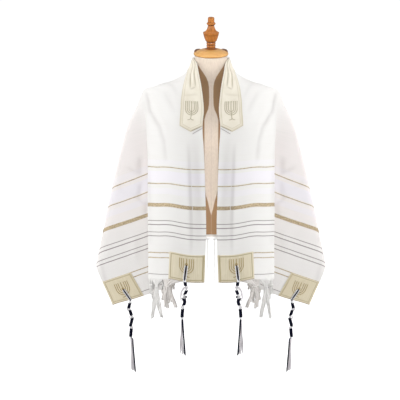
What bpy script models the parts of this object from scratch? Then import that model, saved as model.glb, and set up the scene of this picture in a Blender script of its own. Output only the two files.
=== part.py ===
"""Tallit prayer shawl, worn open over a limbless dress form on a pole stand.

The shawl is one long rectangle of woven cloth. Its middle lies round the neck and shoulders of
the form, and its two ends hang down in front. Each long side drops over a shoulder point, from
which it fans out in radial folds. The shawl is measured flat in two directions: "along" its
length from the centre of the back, and "across" its width from the neck edge to the outer edge.

Frame: metres, +Z up, the front towards -Y. The origin is on the floor under the middle of the
stand, and the left and right halves mirror each other across x = 0.
"""
import math

import bpy
import bmesh
import numpy as np
from mathutils import Matrix, Vector

for old_object in list(bpy.data.objects):
    bpy.data.objects.remove(old_object, do_unlink=True)

# ---------------------------------------------------------------- driving dimensions

GAP = 0.0003                    # clearance between touching pieces

# Shawl, measured flat
CLOTH_HALF_LENGTH = 0.895       # centre back to a short end, without its fringe
CLOTH_WIDTH = 0.590             # neck edge to outer edge
CLOTH_WALL = 0.0020
SHOULDER_ALONG = 0.275          # flat place of the point that lies on the shoulder
SHOULDER_ACROSS = 0.210
FRONT_DROP = CLOTH_HALF_LENGTH - SHOULDER_ALONG
BACK_DROP = CLOTH_WIDTH - SHOULDER_ACROSS

# Sewn-on pieces, measured flat
TRIM_WALL = 0.0012
TRIM_INSET = 0.0010             # from the cloth's edges
NECKBAND_HALF_LENGTH = 0.3950   # centre back to the shoulders of its pointed ends
NECKBAND_POINT = 0.0245         # how far each pointed end runs on
NECKBAND_WIDTH = 0.0735
PATCH_ACROSS = 0.120
PATCH_ALONG = 0.089

# Fringe and corner tassels
FRINGE_LENGTH = 0.108
FRINGE_BUNDLES = 10
FRINGE_FIRST = 0.142            # across, to the first bundle
FRINGE_PITCH = 0.0330
TASSEL_LOOSE_ENDS = 8

# Form and stand
FORM_BOTTOM = 0.589
NECK_TOP = 1.1795
NECK_TILT = math.radians(20.0)  # the neck's top slopes down to the front
POLE_RADIUS = 0.0125
COLLAR_RADIUS = 0.032
COLLAR_HEIGHT = 0.014
BASE_RADIUS = 0.170
BASE_THICKNESS = 0.016
BASE_BEVEL = 0.003

# Draped shape of the shawl. The shoulder point is set proud, because the blur lowers it.
SHOULDER_POINT = (0.232, 0.000, 1.072)
GRID_STEP = 0.005
FOLD_BLUR = 0.006
SHOULDER_BLUR = 0.018

# The yoke's lines, from the centre back over the shoulder to the chest
YOKE_LINES = [
    # across, back y, z,     ridge along, x, y, z,              chest x, y, z
    (0.000, 0.073, 1.170, 0.105, 0.0660, 0.000, 1.163, 0.030, -0.112, 1.047),
    (0.075, 0.083, 1.112, 0.140, 0.0920, 0.004, 1.112, 0.098, -0.103, 1.049),
    (0.150, 0.108, 1.040, 0.200, 0.1560, 0.004, 1.090, 0.166, -0.064, 1.056),
]
NECK_SPEED, BACK_SPEED = 0.62, 0.85                 # sideways, where the lines leave the back
DOWN_CHEST = (-0.04, -0.16, -0.98)                  # the way they arrive at the chest
BACK_LINE_CENTRE = (0.000, 0.118, 0.970)
BACK_LINE_LEAVING = (0.92, 0.0, 0.05)
BACK_LINE_MIDDLE = (0.150, (0.135, 0.085, 1.012))   # along, place

# Each hanging side's radial folds: how far the cloth has turned about the shoulder point, from
# the front panel's fold at 0 to the back panel at 90 degrees, and the way it heads there
FOLD_HEADINGS = [
    # turned, heading (0 = outward, 90 = backward)
    (0.0, 38.0),
    (3.5, 178.0),
    (10.0, 176.0),
    (13.5, 8.0),
    (22.0, 10.0),
    (37.0, 14.0),
    (41.5, 168.0),
    (56.0, 172.0),
    (60.0, 6.0),
    (69.0, 8.0),
    (73.0, 168.0),
    (90.0, 165.0),
]
FOLD_START = (-3.0, -9.0)       # degrees outward and backward at the front fold
FAN_CURVE = 0.30                # how much the sides round outward below the shoulder
FAN_REACH = 0.60
FOLDS_OPEN_FROM, FOLDS_OPEN_BY = 0.02, 0.16

# How much lower the cloth hangs near the front fold than its distance from the shoulder gives
FOLD_SINK = [
    # turned, by the upper reach, and by the lower reach more
    (0.0, 0.010, 0.000),
    (4.0, 0.010, 0.000),
    (12.0, 0.010, 0.007),
    (19.0, 0.010, 0.007),
    (37.0, 0.000, 0.000),
    (90.0, 0.000, 0.000),
]
UPPER_REACH, LOWER_REACH = 0.25, 0.65

# The front edge beside the centre gap
FRONT_EDGE = [
    # drop, x, y
    (0.00, 0.0300, -0.112),
    (0.06, 0.0245, -0.124),
    (0.12, 0.0290, -0.133),
    (0.20, 0.0245, -0.138),
    (0.32, 0.0205, -0.141),
    (0.45, 0.0172, -0.142),
    (0.62, 0.0225, -0.143),
]
PANEL_BULGE = (0.006, 0.034)    # outward and forward, at the middle of the front panel

# Mesh lines: shares of the drop, and turns about the shoulder point in degrees
DROP_SHARES = (0.0, 0.035, 0.075, 0.13, 0.21, 0.30, 0.39, 0.48, 0.57, 0.66, 0.75, 0.84, 0.92, 1.0)
RING_STEPS = (0, 4, 4, 2, 1, 1, 1, 1, 1, 1, 1, 1, 1, 1)
CORNER_TURN = math.degrees(math.atan2(BACK_DROP, FRONT_DROP))
FAN_TURNS = (
    0, 1.5, 3, 4.5, 7.5, 10, 11.3, 12.6, 14, 17.5, 22, 26.5, CORNER_TURN, 35, 37.3, 39, 40.5,
    42.3, 47, 52, 55, 57, 58.7, 60.7, 65, 68.2, 70, 71.6, 73.6, 77.5, 81.5, 85.7, 90,
)
PANEL_COLUMNS = 8
BACK_COLUMNS = 10

# Dress form sections, bottom to top
FORM_SECTIONS = [
    # z, half width, front depth, back depth
    (0.589, 0.116, 0.082, 0.082),
    (0.610, 0.122, 0.087, 0.087),
    (0.660, 0.118, 0.086, 0.084),
    (0.740, 0.103, 0.080, 0.073),
    (0.800, 0.110, 0.088, 0.075),
    (0.860, 0.126, 0.107, 0.082),
    (0.920, 0.142, 0.119, 0.090),
    (0.970, 0.158, 0.114, 0.095),
    (1.010, 0.176, 0.102, 0.094),
    (1.035, 0.182, 0.090, 0.087),
    (1.053, 0.170, 0.080, 0.080),
    (1.068, 0.142, 0.071, 0.072),
    (1.081, 0.106, 0.064, 0.066),
    (1.094, 0.078, 0.059, 0.061),
    (1.110, 0.062, 0.056, 0.058),
    (1.135, 0.0555, 0.0545, 0.0555),
    (NECK_TOP, 0.0540, 0.0540, 0.0540),
]
FORM_SIDES = 28
FORM_SQUARENESS = 2.2

# Domed neck cap, and the turned finial on it
CAP_PROFILE = [
    # height, radius
    (0.0000, 0.0555),
    (0.0020, 0.0575),
    (0.0055, 0.0575),
    (0.0075, 0.0545),
    (0.0118, 0.0450),
    (0.0160, 0.0340),
    (0.0190, 0.0212),
]
FINIAL_PROFILE = [
    # height, radius
    (0.0000, 0.0212),
    (0.0010, 0.0185),
    (0.0026, 0.0154),
    (0.0060, 0.0136),
    (0.0100, 0.0152),
    (0.0146, 0.0138),
    (0.0182, 0.0152),
    (0.0231, 0.0143),
    (0.0293, 0.0190),
    (0.0430, 0.0238),
    (0.0549, 0.0267),
    (0.0580, 0.0207),
    (0.0628, 0.0157),
    (0.0690, 0.0128),
    (0.0781, 0.0106),
    (0.0802, 0.0112),
    (0.0819, 0.0142),
    (0.0847, 0.0148),
    (0.0867, 0.0138),
    (0.0880, 0.0109),
    (0.1036, 0.0105),
    (0.1050, 0.0088),
]
FINIAL_SIDES = 16

# Corner tassels: doubled cords that leave the patch's eyelet, cross its lower edge and hang.
# "Drop" counts down from the cloth's end.
INNER_TASSEL = {
    "eyelet": (0.056, 0.062),    # from the end, from the panel's front edge
    "crossing": 0.066,
    "rows": [
        # drop, sideways, radius
        (0.004, 0.0000, 0.0042),
        (0.009, 0.0000, 0.0034),
        (0.020, 0.0000, 0.0035),
        (0.024, -0.0020, 0.0042),
        (0.032, -0.0055, 0.0034),
        (0.047, 0.0015, 0.0035),
        (0.052, 0.0022, 0.0043),
        (0.060, 0.0030, 0.0034),
        (0.083, 0.0042, 0.0035),
        (0.089, 0.0052, 0.0043),
        (0.096, 0.0070, 0.0034),
        (0.121, 0.0108, 0.0035),
        (0.127, 0.0100, 0.0046),
    ],
    "ends": (0.250, 0.009),      # drop and sideways spread of the loose ends
}
OUTER_TASSEL = {
    "eyelet": (0.037, CLOTH_WIDTH - 0.047),
    "crossing": CLOTH_WIDTH - 0.053,
    "rows": [
        (0.004, -0.0030, 0.0043),
        (0.010, -0.0020, 0.0034),
        (0.024, 0.0000, 0.0035),
        (0.029, 0.0018, 0.0043),
        (0.036, -0.0005, 0.0034),
        (0.047, -0.0080, 0.0035),
        (0.054, -0.0105, 0.0043),
        (0.062, -0.0110, 0.0034),
        (0.083, -0.0065, 0.0035),
        (0.090, -0.0060, 0.0043),
        (0.097, -0.0065, 0.0034),
        (0.117, -0.0070, 0.0035),
        (0.124, -0.0078, 0.0046),
    ],
    "ends": (0.236, 0.008),
}
CORD_RADIUS = 0.0024
CORD_SIDES = 10
LOOSE_END_THICKNESS = 0.0013
LOOSE_END_CELLS = (7, 3)


# ---------------------------------------------------------------- materials

def material(name, colour, roughness, metallic=0.0):
    """A plain Principled material."""
    made = bpy.data.materials.new(name)
    made.use_nodes = True
    shader = made.node_tree.nodes["Principled BSDF"]
    shader.inputs["Base Color"].default_value = (*colour, 1.0)
    shader.inputs["Roughness"].default_value = roughness
    shader.inputs["Metallic"].default_value = metallic
    return made


IVORY_CLOTH = (0.86, 0.85, 0.82)
NECKBAND_SATIN = (0.88, 0.83, 0.70)
PATCH_SATIN = (0.78, 0.70, 0.52)
TASSEL_CORD = (0.30, 0.32, 0.42)
FRINGE_YARN = (0.88, 0.87, 0.84)
FORM_LINEN = (0.78, 0.67, 0.55)
CAP_MAPLE = (0.85, 0.50, 0.20)
FINIAL_WOOD = (0.42, 0.13, 0.03)
STAND_LACQUER = (0.85, 0.85, 0.85)


# ---------------------------------------------------------------- meshes and objects

def add_object(name, vertices, faces, finish, smooth=False):
    """One named object from points and faces that all point out."""
    mesh = bpy.data.meshes.new(name)
    mesh.from_pydata([tuple(map(float, point)) for point in vertices], [], faces)
    mesh.validate()
    if smooth:
        mesh.shade_smooth()
        mesh.set_sharp_from_angle(angle=math.radians(40))
    mesh.materials.append(finish)
    made = bpy.data.objects.new(name, mesh)
    bpy.context.scene.collection.objects.link(made)
    return made


def tube_faces(rings, sides):
    """The quads between successive rings of as many points."""
    faces = []
    for ring in range(rings - 1):
        for side in range(sides):
            a = ring * sides + side
            b = ring * sides + (side + 1) % sides
            faces.append((a, b, b + sides, a + sides))
    return faces


# ---------------------------------------------------------------- the shawl's draped surface

def ease(value, low, high):
    """Smooth step from 0 at low to 1 at high."""
    share = np.clip((value - low) / (high - low), 0.0, 1.0)
    return share * share * (3.0 - 2.0 * share)


def curve_through(stations, points, wanted, first_slope=None, last_slope=None):
    """Smooth curve through the points, without overshoot, read at the wanted stations."""
    stations = np.asarray(stations, float)
    points = np.asarray(points, float).reshape(len(stations), -1)
    steps = np.diff(stations)[:, None]
    chords = np.diff(points, axis=0) / steps
    slopes = np.zeros_like(points)
    slopes[0] = chords[0] if first_slope is None else first_slope
    slopes[-1] = chords[-1] if last_slope is None else last_slope
    before, after = chords[:-1], chords[1:]
    same_way = before * after > 0.0
    total = np.where(same_way, before + after, 1.0)
    slopes[1:-1] = np.where(same_way, 2.0 * before * after / total, 0.0)
    span = np.clip(np.searchsorted(stations, wanted) - 1, 0, len(steps) - 1)
    step = steps[span]
    t = (np.asarray(wanted, float)[:, None] - stations[span][:, None]) / step
    return (points[span] * (2 * t**3 - 3 * t**2 + 1) + slopes[span] * step * (t**3 - 2 * t**2 + t)
            + points[span + 1] * (3 * t**2 - 2 * t**3) + slopes[span + 1] * step * (t**3 - t**2))


def bell(radius):
    """Weights of a Gaussian blur of that radius in samples."""
    reach = int(3 * radius) + 1
    weights = np.exp(-0.5 * (np.arange(-reach, reach + 1) / radius) ** 2)
    return weights / weights.sum()


def odd_ends(values, reach):
    """The values, carried on past both ends by their turned-over reflection."""
    before = 2 * values[:1] - values[reach:0:-1]
    after = 2 * values[-1:] - values[-2:-reach - 2:-1]
    return np.concatenate([before, values, after])


def blurred(values, radius):
    """The values blurred along their first axis, with the ends kept in place."""
    weights = bell(radius)
    padded = odd_ends(values, len(weights) // 2)
    return sum(w * padded[i:i + len(values)] for i, w in enumerate(weights))


def fan_directions():
    """The cloth's outward and backward tilt at each turn about the shoulder point."""
    turns = np.linspace(0.0, 90.0, 361)
    step = turns[1] - turns[0]
    table = np.array(FOLD_HEADINGS)
    heading = np.radians(blurred(np.interp(turns, table[:, 0], table[:, 1]), 3.0))
    tilts = []
    for start, rate in zip(FOLD_START, (np.cos(heading), np.sin(heading))):
        run = np.concatenate([[0.0], np.cumsum((rate[1:] + rate[:-1]) / 2 * step)])
        tilts.append(np.tan(np.radians(start + run)))
    folded = np.stack(tilts, axis=-1)
    return turns, folded, blurred(folded, 28.0)


def fan_grid(reach_samples=153):
    """Offsets from the shoulder point, by turn and by distance from it."""
    turns, folded, even = fan_directions()
    reach = np.linspace(0.0, 0.76, reach_samples)
    far = np.maximum(reach, 1e-4)[None, :, None]
    opened = ease(far, FOLDS_OPEN_FROM, FOLDS_OPEN_BY)
    rounded = (far / FAN_REACH) ** -FAN_CURVE
    flat = far * (even[:, None] * rounded + (folded - even)[:, None] * opened)
    rates = np.gradient(flat, reach, axis=1)
    fall = np.sqrt(np.clip(1.0 - (rates ** 2).sum(axis=-1), 0.05, 1.0))
    steps = (fall[:, 1:] + fall[:, :-1]) / 2 * np.diff(reach)
    drop = np.concatenate([np.zeros((len(turns), 1)), np.cumsum(steps, axis=1)], axis=1)
    table = np.array(FOLD_SINK)
    upper, lower = (np.interp(turns, table[:, 0], table[:, k])[:, None] for k in (1, 2))
    drop += upper * ease(reach, 0.0, UPPER_REACH) + lower * ease(reach, UPPER_REACH, LOWER_REACH)
    return turns, reach, np.concatenate([flat, -drop[..., None]], axis=-1)


FAN = fan_grid()


def fan_offset(turn, distance):
    """Offset from the shoulder point of cloth at that turn and distance."""
    turns, reach, offsets = FAN
    row = np.clip(np.asarray(turn) / turns[1], 0, len(turns) - 1.001)
    column = np.clip(np.asarray(distance) / reach[1], 0, len(reach) - 1.001)
    i, j = row.astype(int), column.astype(int)
    s, t = (row - i)[..., None], (column - j)[..., None]
    return ((offsets[i, j] * (1 - t) + offsets[i, j + 1] * t) * (1 - s)
            + (offsets[i + 1, j] * (1 - t) + offsets[i + 1, j + 1] * t) * s)


def yoke(along, across):
    """The part of the half shawl that lies on the neck, shoulder and chest."""
    shoulder = np.array(SHOULDER_POINT)
    lines, stations = [], []
    for row in YOKE_LINES:
        knots = [(0.0, row[1], row[2]), row[4:7], row[7:10]]
        leaving = (NECK_SPEED if row[0] == 0.0 else BACK_SPEED, 0.0, 0.0)
        lines.append(curve_through([0.0, row[3], SHOULDER_ALONG], knots, along, leaving, DOWN_CHEST))
        stations.append(row[0])
    middle_along, middle = BACK_LINE_MIDDLE
    arriving = (shoulder - np.array(middle)) / (SHOULDER_ALONG - middle_along)
    lines.append(curve_through([0.0, middle_along, SHOULDER_ALONG],
                               [BACK_LINE_CENTRE, middle, shoulder], along, BACK_LINE_LEAVING, arriving))
    stations.append(SHOULDER_ACROSS)
    stacked = np.array(lines).reshape(len(lines), -1)
    return curve_through(stations, stacked, across).reshape(len(across), len(along), 3).transpose(1, 0, 2)


def draped_half():
    """The half shawl's middle surface on an even flat grid, with its folds."""
    along = np.linspace(0.0, CLOTH_HALF_LENGTH, round(CLOTH_HALF_LENGTH / GRID_STEP) + 1)
    across = np.linspace(0.0, CLOTH_WIDTH, round(CLOTH_WIDTH / GRID_STEP) + 1)
    shoulder_row = round(SHOULDER_ALONG / GRID_STEP)
    shoulder_column = round(SHOULDER_ACROSS / GRID_STEP)
    surface = np.zeros((len(along), len(across), 3))
    surface[:shoulder_row + 1, :shoulder_column + 1] = yoke(along[:shoulder_row + 1],
                                                            across[:shoulder_column + 1])
    # hanging side, which fans out from the shoulder point
    right = along[shoulder_row:, None] - SHOULDER_ALONG
    below = across[None, shoulder_column:] - SHOULDER_ACROSS
    turn = np.degrees(np.arctan2(below, np.maximum(right, 1e-9)))
    surface[shoulder_row:, shoulder_column:] = SHOULDER_POINT + fan_offset(turn, np.hypot(right, below))
    # front panel, between the centre gap and the fan's first fold
    drops = along[shoulder_row:] - SHOULDER_ALONG
    share = across[:shoulder_column + 1] / SHOULDER_ACROSS
    table = np.array(FRONT_EDGE)
    edge = curve_through(table[:, 0], table[:, 1:], drops)
    fold = fan_offset(np.zeros_like(drops), drops)
    chest = surface[shoulder_row, :shoulder_column + 1].copy()
    chord = chest[0] * (1 - share)[:, None] + chest[-1] * share[:, None]
    chest_bulge = (chest - chord)[:, :2]
    swell = np.sin(np.pi * share)
    panel_bulge = np.stack([PANEL_BULGE[0] * swell, -PANEL_BULGE[1] * swell * (1 - 0.35 * share)], -1)
    for row, drop in enumerate(drops):
        settled = ease(drop, 0.0, 0.16)
        outer = np.array(SHOULDER_POINT[:2]) + fold[row, :2]
        plan = edge[row] * (1 - share)[:, None] + outer * share[:, None]
        plan = plan + chest_bulge * (1 - settled) + panel_bulge * settled
        surface[shoulder_row + row, :shoulder_column + 1, :2] = plan
        sink = FOLD_SINK[0][1] * ease(drop, 0.0, UPPER_REACH) * (1 - share)
        surface[shoulder_row + row, :shoulder_column + 1, 2] = chest[:, 2] + fold[row, 2] + sink
    # back panel, between the centre back and the fan's last fold
    falls = across[shoulder_column:] - SHOULDER_ACROSS
    side = fan_offset(np.full_like(falls, 90.0), falls)
    line = surface[:shoulder_row + 1, shoulder_column].copy()
    pull = ease(along[:shoulder_row + 1] / SHOULDER_ALONG, 0.15, 1.0)[:, None]
    for column, fall in enumerate(falls):
        straight = np.array((0.0, 0.004 * ease(fall, 0.0, 0.1), -fall))
        hang = line + straight * (1 - pull) + side[column] * pull
        surface[:shoulder_row + 1, shoulder_column + column] = hang
    return along, across, surface


def blurred_sheet(surface, radius):
    """The half sheet blurred both ways, as one cloth with its mirrored half."""
    reach = len(bell(radius)) // 2
    mirrored = surface[reach:0:-1] * (-1.0, 1.0, 1.0)
    whole = blurred(np.concatenate([mirrored, surface]), radius)[reach:]
    return blurred(whole.transpose(1, 0, 2), radius).transpose(1, 0, 2)


def shawl_surface():
    """The half shawl's smooth surface and its outward normals, on the flat grid."""
    along, across, rough = draped_half()
    creased = blurred_sheet(rough, FOLD_BLUR / GRID_STEP)
    soft = blurred_sheet(rough, SHOULDER_BLUR / GRID_STEP)
    u, v = np.meshgrid(along, across, indexing="ij")
    near_point = 1.0 - ease(np.hypot(u - SHOULDER_ALONG, v - SHOULDER_ACROSS), 0.03, 0.12)
    on_yoke = (1.0 - ease(u, SHOULDER_ALONG, SHOULDER_ALONG + 0.08)) * (
        1.0 - ease(v, SHOULDER_ACROSS, SHOULDER_ACROSS + 0.06))
    softness = np.maximum(near_point, on_yoke)[..., None]
    surface = creased * (1.0 - softness) + soft * softness
    normals = np.cross(np.gradient(surface, GRID_STEP, axis=0), np.gradient(surface, GRID_STEP, axis=1))
    normals /= np.linalg.norm(normals, axis=-1, keepdims=True)
    return surface, normals


SURFACE, NORMALS = shawl_surface()


def cloth_point(along, across):
    """Place and outward normal of a flat point. Negative lengths lie on the mirrored half."""
    rows, columns = SURFACE.shape[:2]
    row = min(max(abs(along) / CLOTH_HALF_LENGTH * (rows - 1), 0.0), rows - 1.001)
    column = min(max(across / CLOTH_WIDTH * (columns - 1), 0.0), columns - 1.001)
    i, j = int(row), int(column)
    s, t = row - i, column - j
    found = []
    for grid in (SURFACE, NORMALS):
        value = ((grid[i, j] * (1 - t) + grid[i, j + 1] * t) * (1 - s)
                 + (grid[i + 1, j] * (1 - t) + grid[i + 1, j + 1] * t) * s)
        found.append(value * (-1.0, 1.0, 1.0) if along < 0 else value)
    return found[0], found[1] / np.linalg.norm(found[1])


# ---------------------------------------------------------------- flat layout of the shawl

class Layout:
    """Flat points and triangles, turned the same way as the cloth's outer face."""

    def __init__(self):
        self.points = []
        self.triangles = []
        self.known = {}

    def point(self, along, across):
        key = (round(along, 5), round(across, 5))
        if key not in self.known:
            self.known[key] = len(self.points)
            self.points.append((along, across))
        return self.known[key]

    def strip(self, near, far):
        """Triangles between two rows of points, of which the far one may be twice as fine."""
        if len(near) == 1:
            self.triangles += [(near[0], a, b) for a, b in zip(far, far[1:])]
            return
        finer = (len(far) - 1) // (len(near) - 1)
        for k, (a, b) in enumerate(zip(near, near[1:])):
            fine = far[k * finer:k * finer + finer + 1]
            if finer == 2:
                self.triangles += [(a, fine[0], fine[1]), (a, fine[1], b), (b, fine[1], fine[2])]
            else:
                self.triangles += [(a, fine[0], fine[1]), (a, fine[1], b)]

    def mirrored(self):
        """The same layout on the other half of the cloth."""
        other = Layout()
        other.points = [(-along, across) for along, across in self.points]
        other.triangles = [(a, c, b) for a, b, c in self.triangles]
        return other


def end_layout(shoulder_along):
    """The hanging end of the half shawl: its front panel and its fanned side."""
    layout = Layout()
    drop = CLOTH_HALF_LENGTH - shoulder_along
    panel = np.linspace(0.0, SHOULDER_ACROSS, PANEL_COLUMNS + 1)
    rows = [[layout.point(shoulder_along + share * drop, across) for across in panel]
            for share in DROP_SHARES]
    for above, below in zip(rows, rows[1:]):
        layout.strip(above, below)
    rings = [[layout.point(shoulder_along, SHOULDER_ACROSS)]]
    for share, step in zip(DROP_SHARES[1:], RING_STEPS[1:]):
        ring = []
        for turn in FAN_TURNS[::step]:
            angle = math.radians(turn)
            reach = share * (drop / math.cos(angle) if turn <= CORNER_TURN else BACK_DROP / math.sin(angle))
            ring.append(layout.point(shoulder_along + reach * math.cos(angle),
                                     SHOULDER_ACROSS + reach * math.sin(angle)))
        rings.append(ring)
    for inner, outer in zip(rings, rings[1:]):
        layout.strip(inner, outer)
    return layout


def back_layout(shoulder_along):
    """The middle of the whole shawl: the yoke round the neck, and the back panel."""
    layout = Layout()
    columns = np.linspace(-shoulder_along, shoulder_along, 2 * BACK_COLUMNS + 1)
    across = list(np.linspace(0.0, SHOULDER_ACROSS, PANEL_COLUMNS + 1))
    across += [SHOULDER_ACROSS + share * BACK_DROP for share in DROP_SHARES[1:]]
    rows = [[layout.point(along, v) for along in columns] for v in across]
    for above, below in zip(rows, rows[1:]):
        layout.strip(above[::-1], below[::-1])
    return layout


def wall(name, places, triangles, low, high, finish):
    """A closed wall between two offsets of a sheet of (place, normal) points."""
    count = len(places)
    vertices = [place + normal * high for place, normal in places]
    vertices += [place + normal * low for place, normal in places]
    faces = list(triangles)
    faces += [(c + count, b + count, a + count) for a, b, c in triangles]
    directed = {edge for a, b, c in triangles for edge in ((a, b), (b, c), (c, a))}
    for a, b in sorted(directed):
        if (b, a) in directed:
            continue
        # the edge is split from its higher outer corner, so that facing edges stay parallel
        if places[a][0][2] > places[b][0][2]:
            faces += [(b, a, b + count), (a, a + count, b + count)]
        else:
            faces += [(b, a, a + count), (b, a + count, b + count)]
    return add_object(name, vertices, faces, finish, smooth=True)


def places_of(layout):
    """Place and normal of each of a layout's points."""
    return [cloth_point(*point) for point in layout.points]


# ---------------------------------------------------------------- shawl

ivory = material("ivory_cloth", IVORY_CLOTH, 0.8)


def make_shawl():
    """The cloth in three stretches, which part along the shoulder lines."""
    half_wall = CLOTH_WALL / 2
    back = back_layout(SHOULDER_ALONG - GAP / 2)
    right = end_layout(SHOULDER_ALONG + GAP / 2)
    stretches = (("shawl_back", back), ("shawl_right", right), ("shawl_left", right.mirrored()))
    for name, layout in stretches:
        wall(name, places_of(layout), layout.triangles, -half_wall, half_wall, ivory)


# ---------------------------------------------------------------- sewn-on pieces

def cut_along(polygon, start, end):
    """The part of a polygon of flat rows that lies left of the line from start to end."""
    def side(row):
        return (end[0] - start[0]) * (row[1] - start[1]) - (end[1] - start[1]) * (row[0] - start[0])
    kept = []
    for here, following in zip(polygon, polygon[1:] + polygon[:1]):
        a, b = side(here), side(following)
        if a >= 0:
            kept.append(here)
        if (a > 0 > b) or (a < 0 < b):
            kept.append(here + (following - here) * (a / (a - b)))
    return kept


def trim(name, outline, layouts, finish):
    """A sewn-on piece: the cloth's own facets inside a flat outline, moved out from the cloth."""
    known, places, triangles = {}, [], []
    for layout in layouts:
        rows = [np.concatenate([point, *cloth_point(*point)]) for point in layout.points]
        for triangle in layout.triangles:
            polygon = [rows[corner] for corner in triangle]
            for start, end in zip(outline, outline[1:] + outline[:1]):
                polygon = cut_along(polygon, start, end)
            corners = []
            for row in polygon:
                key = (round(row[0], 5), round(row[1], 5))
                if key not in known:
                    known[key] = len(places)
                    places.append((row[2:5], row[5:8]))
                if known[key] not in corners:
                    corners.append(known[key])
            triangles += [(corners[0], b, c) for b, c in zip(corners[1:], corners[2:])]
    low = CLOTH_WALL / 2 + GAP
    return wall(name, places, triangles, low, low + TRIM_WALL, finish)


def make_neckband(layouts):
    """The band round the neck edge, with a pointed end on each front."""
    length, point = NECKBAND_HALF_LENGTH, NECKBAND_HALF_LENGTH + NECKBAND_POINT
    near, far = TRIM_INSET, NECKBAND_WIDTH
    outline = [(-length, near), (length, near), (point, (near + far) / 2), (length, far),
               (-length, far), (-point, (near + far) / 2)]
    trim("neckband", outline, layouts, material("neckband_satin", NECKBAND_SATIN, 0.5))


def make_patches(layouts):
    """A reinforcing patch on each of the four corners."""
    satin = material("patch_satin", PATCH_SATIN, 0.45)
    end = CLOTH_HALF_LENGTH - TRIM_INSET
    top = end - PATCH_ALONG
    for corner, near in (("front", TRIM_INSET), ("outer", CLOTH_WIDTH - TRIM_INSET - PATCH_ACROSS)):
        far = near + PATCH_ACROSS
        right = [(top, near), (end, near), (end, far), (top, far)]
        left = [(-along, across) for along, across in reversed(right)]
        trim(f"patch_{corner}_right", right, layouts, satin)
        trim(f"patch_{corner}_left", left, layouts, satin)


# ---------------------------------------------------------------- corner tassels

def square_ring(centre, size, across_way, depth_way):
    """Four corners of a strand's section."""
    return [centre + across_way * (a * size / 2) + depth_way * (b * size / 2)
            for a, b in ((-1, -1), (1, -1), (1, 1), (-1, 1))]


def strand(vertices, faces, root, rows, across_way, depth_way):
    """Add one four-sided strand, of rows of centre and size, that grows out of its root corners."""
    ring = list(root)
    for centre, size in rows:
        start = len(vertices)
        vertices.extend(square_ring(centre, size, across_way, depth_way))
        lower = list(range(start, start + 4))
        for k in range(4):
            faces.append((ring[k], ring[(k + 1) % 4], lower[(k + 1) % 4], lower[k]))
        ring = lower
    faces.append(tuple(ring))


def tassel_path(side, tassel):
    """Centres and radii of the doubled cord, from the eyelet to its last knot."""
    from_end, across = tassel["eyelet"]
    stand_off = CLOTH_WALL / 2 + TRIM_WALL + 2 * GAP + CORD_RADIUS
    rows = []
    for share in (0.0, 0.25, 0.5, 0.75, 1.0):
        along = CLOTH_HALF_LENGTH - from_end * (1 - share)
        place, normal = cloth_point(side * along, across + (tassel["crossing"] - across) * share)
        rows.append((place + normal * (stand_off + GAP), CORD_RADIUS))
    end = rows[-1][0]
    for drop, sideways, radius in tassel["rows"]:
        rows.append((end + np.array((side * sideways, 0.0, -drop)), radius))
    return rows


def make_tassel(name, side, tassel, finish):
    """A doubled cord with knots and wound stretches, and eight loose ends fused to its last knot."""
    rows = tassel_path(side, tassel)
    vertices, faces = [], []
    for k, (centre, radius) in enumerate(rows):
        before, after = rows[max(k - 1, 0)][0], rows[min(k + 1, len(rows) - 1)][0]
        way = (after - before) / np.linalg.norm(after - before)
        wide = np.cross((0.0, 1.0, 0.0), way)
        wide /= np.linalg.norm(wide)
        deep = np.cross(way, wide)
        for step in range(CORD_SIDES):
            angle = 2 * math.pi * step / CORD_SIDES
            vertices.append(centre + (wide * math.cos(angle) + deep * math.sin(angle)) * radius)
    faces += tube_faces(len(rows), CORD_SIDES)
    faces.append(tuple(range(CORD_SIDES)))
    # the last knot's underside is a grid of cells, and every other cell grows a loose end
    knot, radius = rows[-1]
    centre = knot - np.array((0.0, 0.0, radius))
    wide, deep = np.array((-1.0, 0.0, 0.0)), np.array((0.0, 1.0, 0.0))
    columns, lines = LOOSE_END_CELLS
    cell = LOOSE_END_THICKNESS
    grid = {}
    for i in range(columns + 1):
        for j in range(lines + 1):
            grid[i, j] = len(vertices)
            vertices.append(centre + wide * (i - columns / 2) * cell + deep * (j - lines / 2) * cell)
    rim = [(columns, j) for j in range(1, lines)]
    rim += [(i, lines) for i in range(columns, 0, -1)]
    rim += [(0, j) for j in range(lines, 0, -1)]
    rim += [(i, 0) for i in range(columns)]
    rim.append((columns, 0))
    rim = [grid[place] for place in rim]
    ring = [(len(rows) - 1) * CORD_SIDES + k for k in range(CORD_SIDES)]
    for k in range(CORD_SIDES):
        a, b = ring[k], ring[(k + 1) % CORD_SIDES]
        fine = [rim[(2 * k + n) % len(rim)] for n in range(3)]
        faces += [(a, fine[1], fine[0]), (a, b, fine[1]), (b, fine[2], fine[1])]
    end_drop, spread = tassel["ends"]
    length = end_drop - tassel["rows"][-1][0]
    for i in range(columns):
        for j in range(lines):
            corners = (grid[i, j], grid[i + 1, j], grid[i + 1, j + 1], grid[i, j + 1])
            if i % 2 or j % 2:
                faces.append(corners)
                continue
            shift = np.array(((i - 3) * cell, (j - 1) * cell))
            own_length = length * (1.0 - 0.035 * ((3 * i + 2 * j) % 5))
            places = []
            for share in (0.12, 0.35, 0.65, 1.0):
                opened = 1.0 + share * spread / (3 * cell)
                sway = 0.003 * math.sin(2.5 * share) * side
                hung = centre + wide * shift[0] * opened + deep * shift[1] * opened
                places.append((hung + np.array((sway, 0.0, -own_length * share)), cell))
            strand(vertices, faces, corners, places, wide, deep)
    return add_object(name, vertices, faces, finish)


def make_tassels():
    cord = material("tassel_cord", TASSEL_CORD, 0.7)
    for side, word in ((1, "right"), (-1, "left")):
        make_tassel(f"tassel_front_{word}", side, INNER_TASSEL, cord)
        make_tassel(f"tassel_outer_{word}", side, OUTER_TASSEL, cord)


# ---------------------------------------------------------------- fringe

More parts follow.
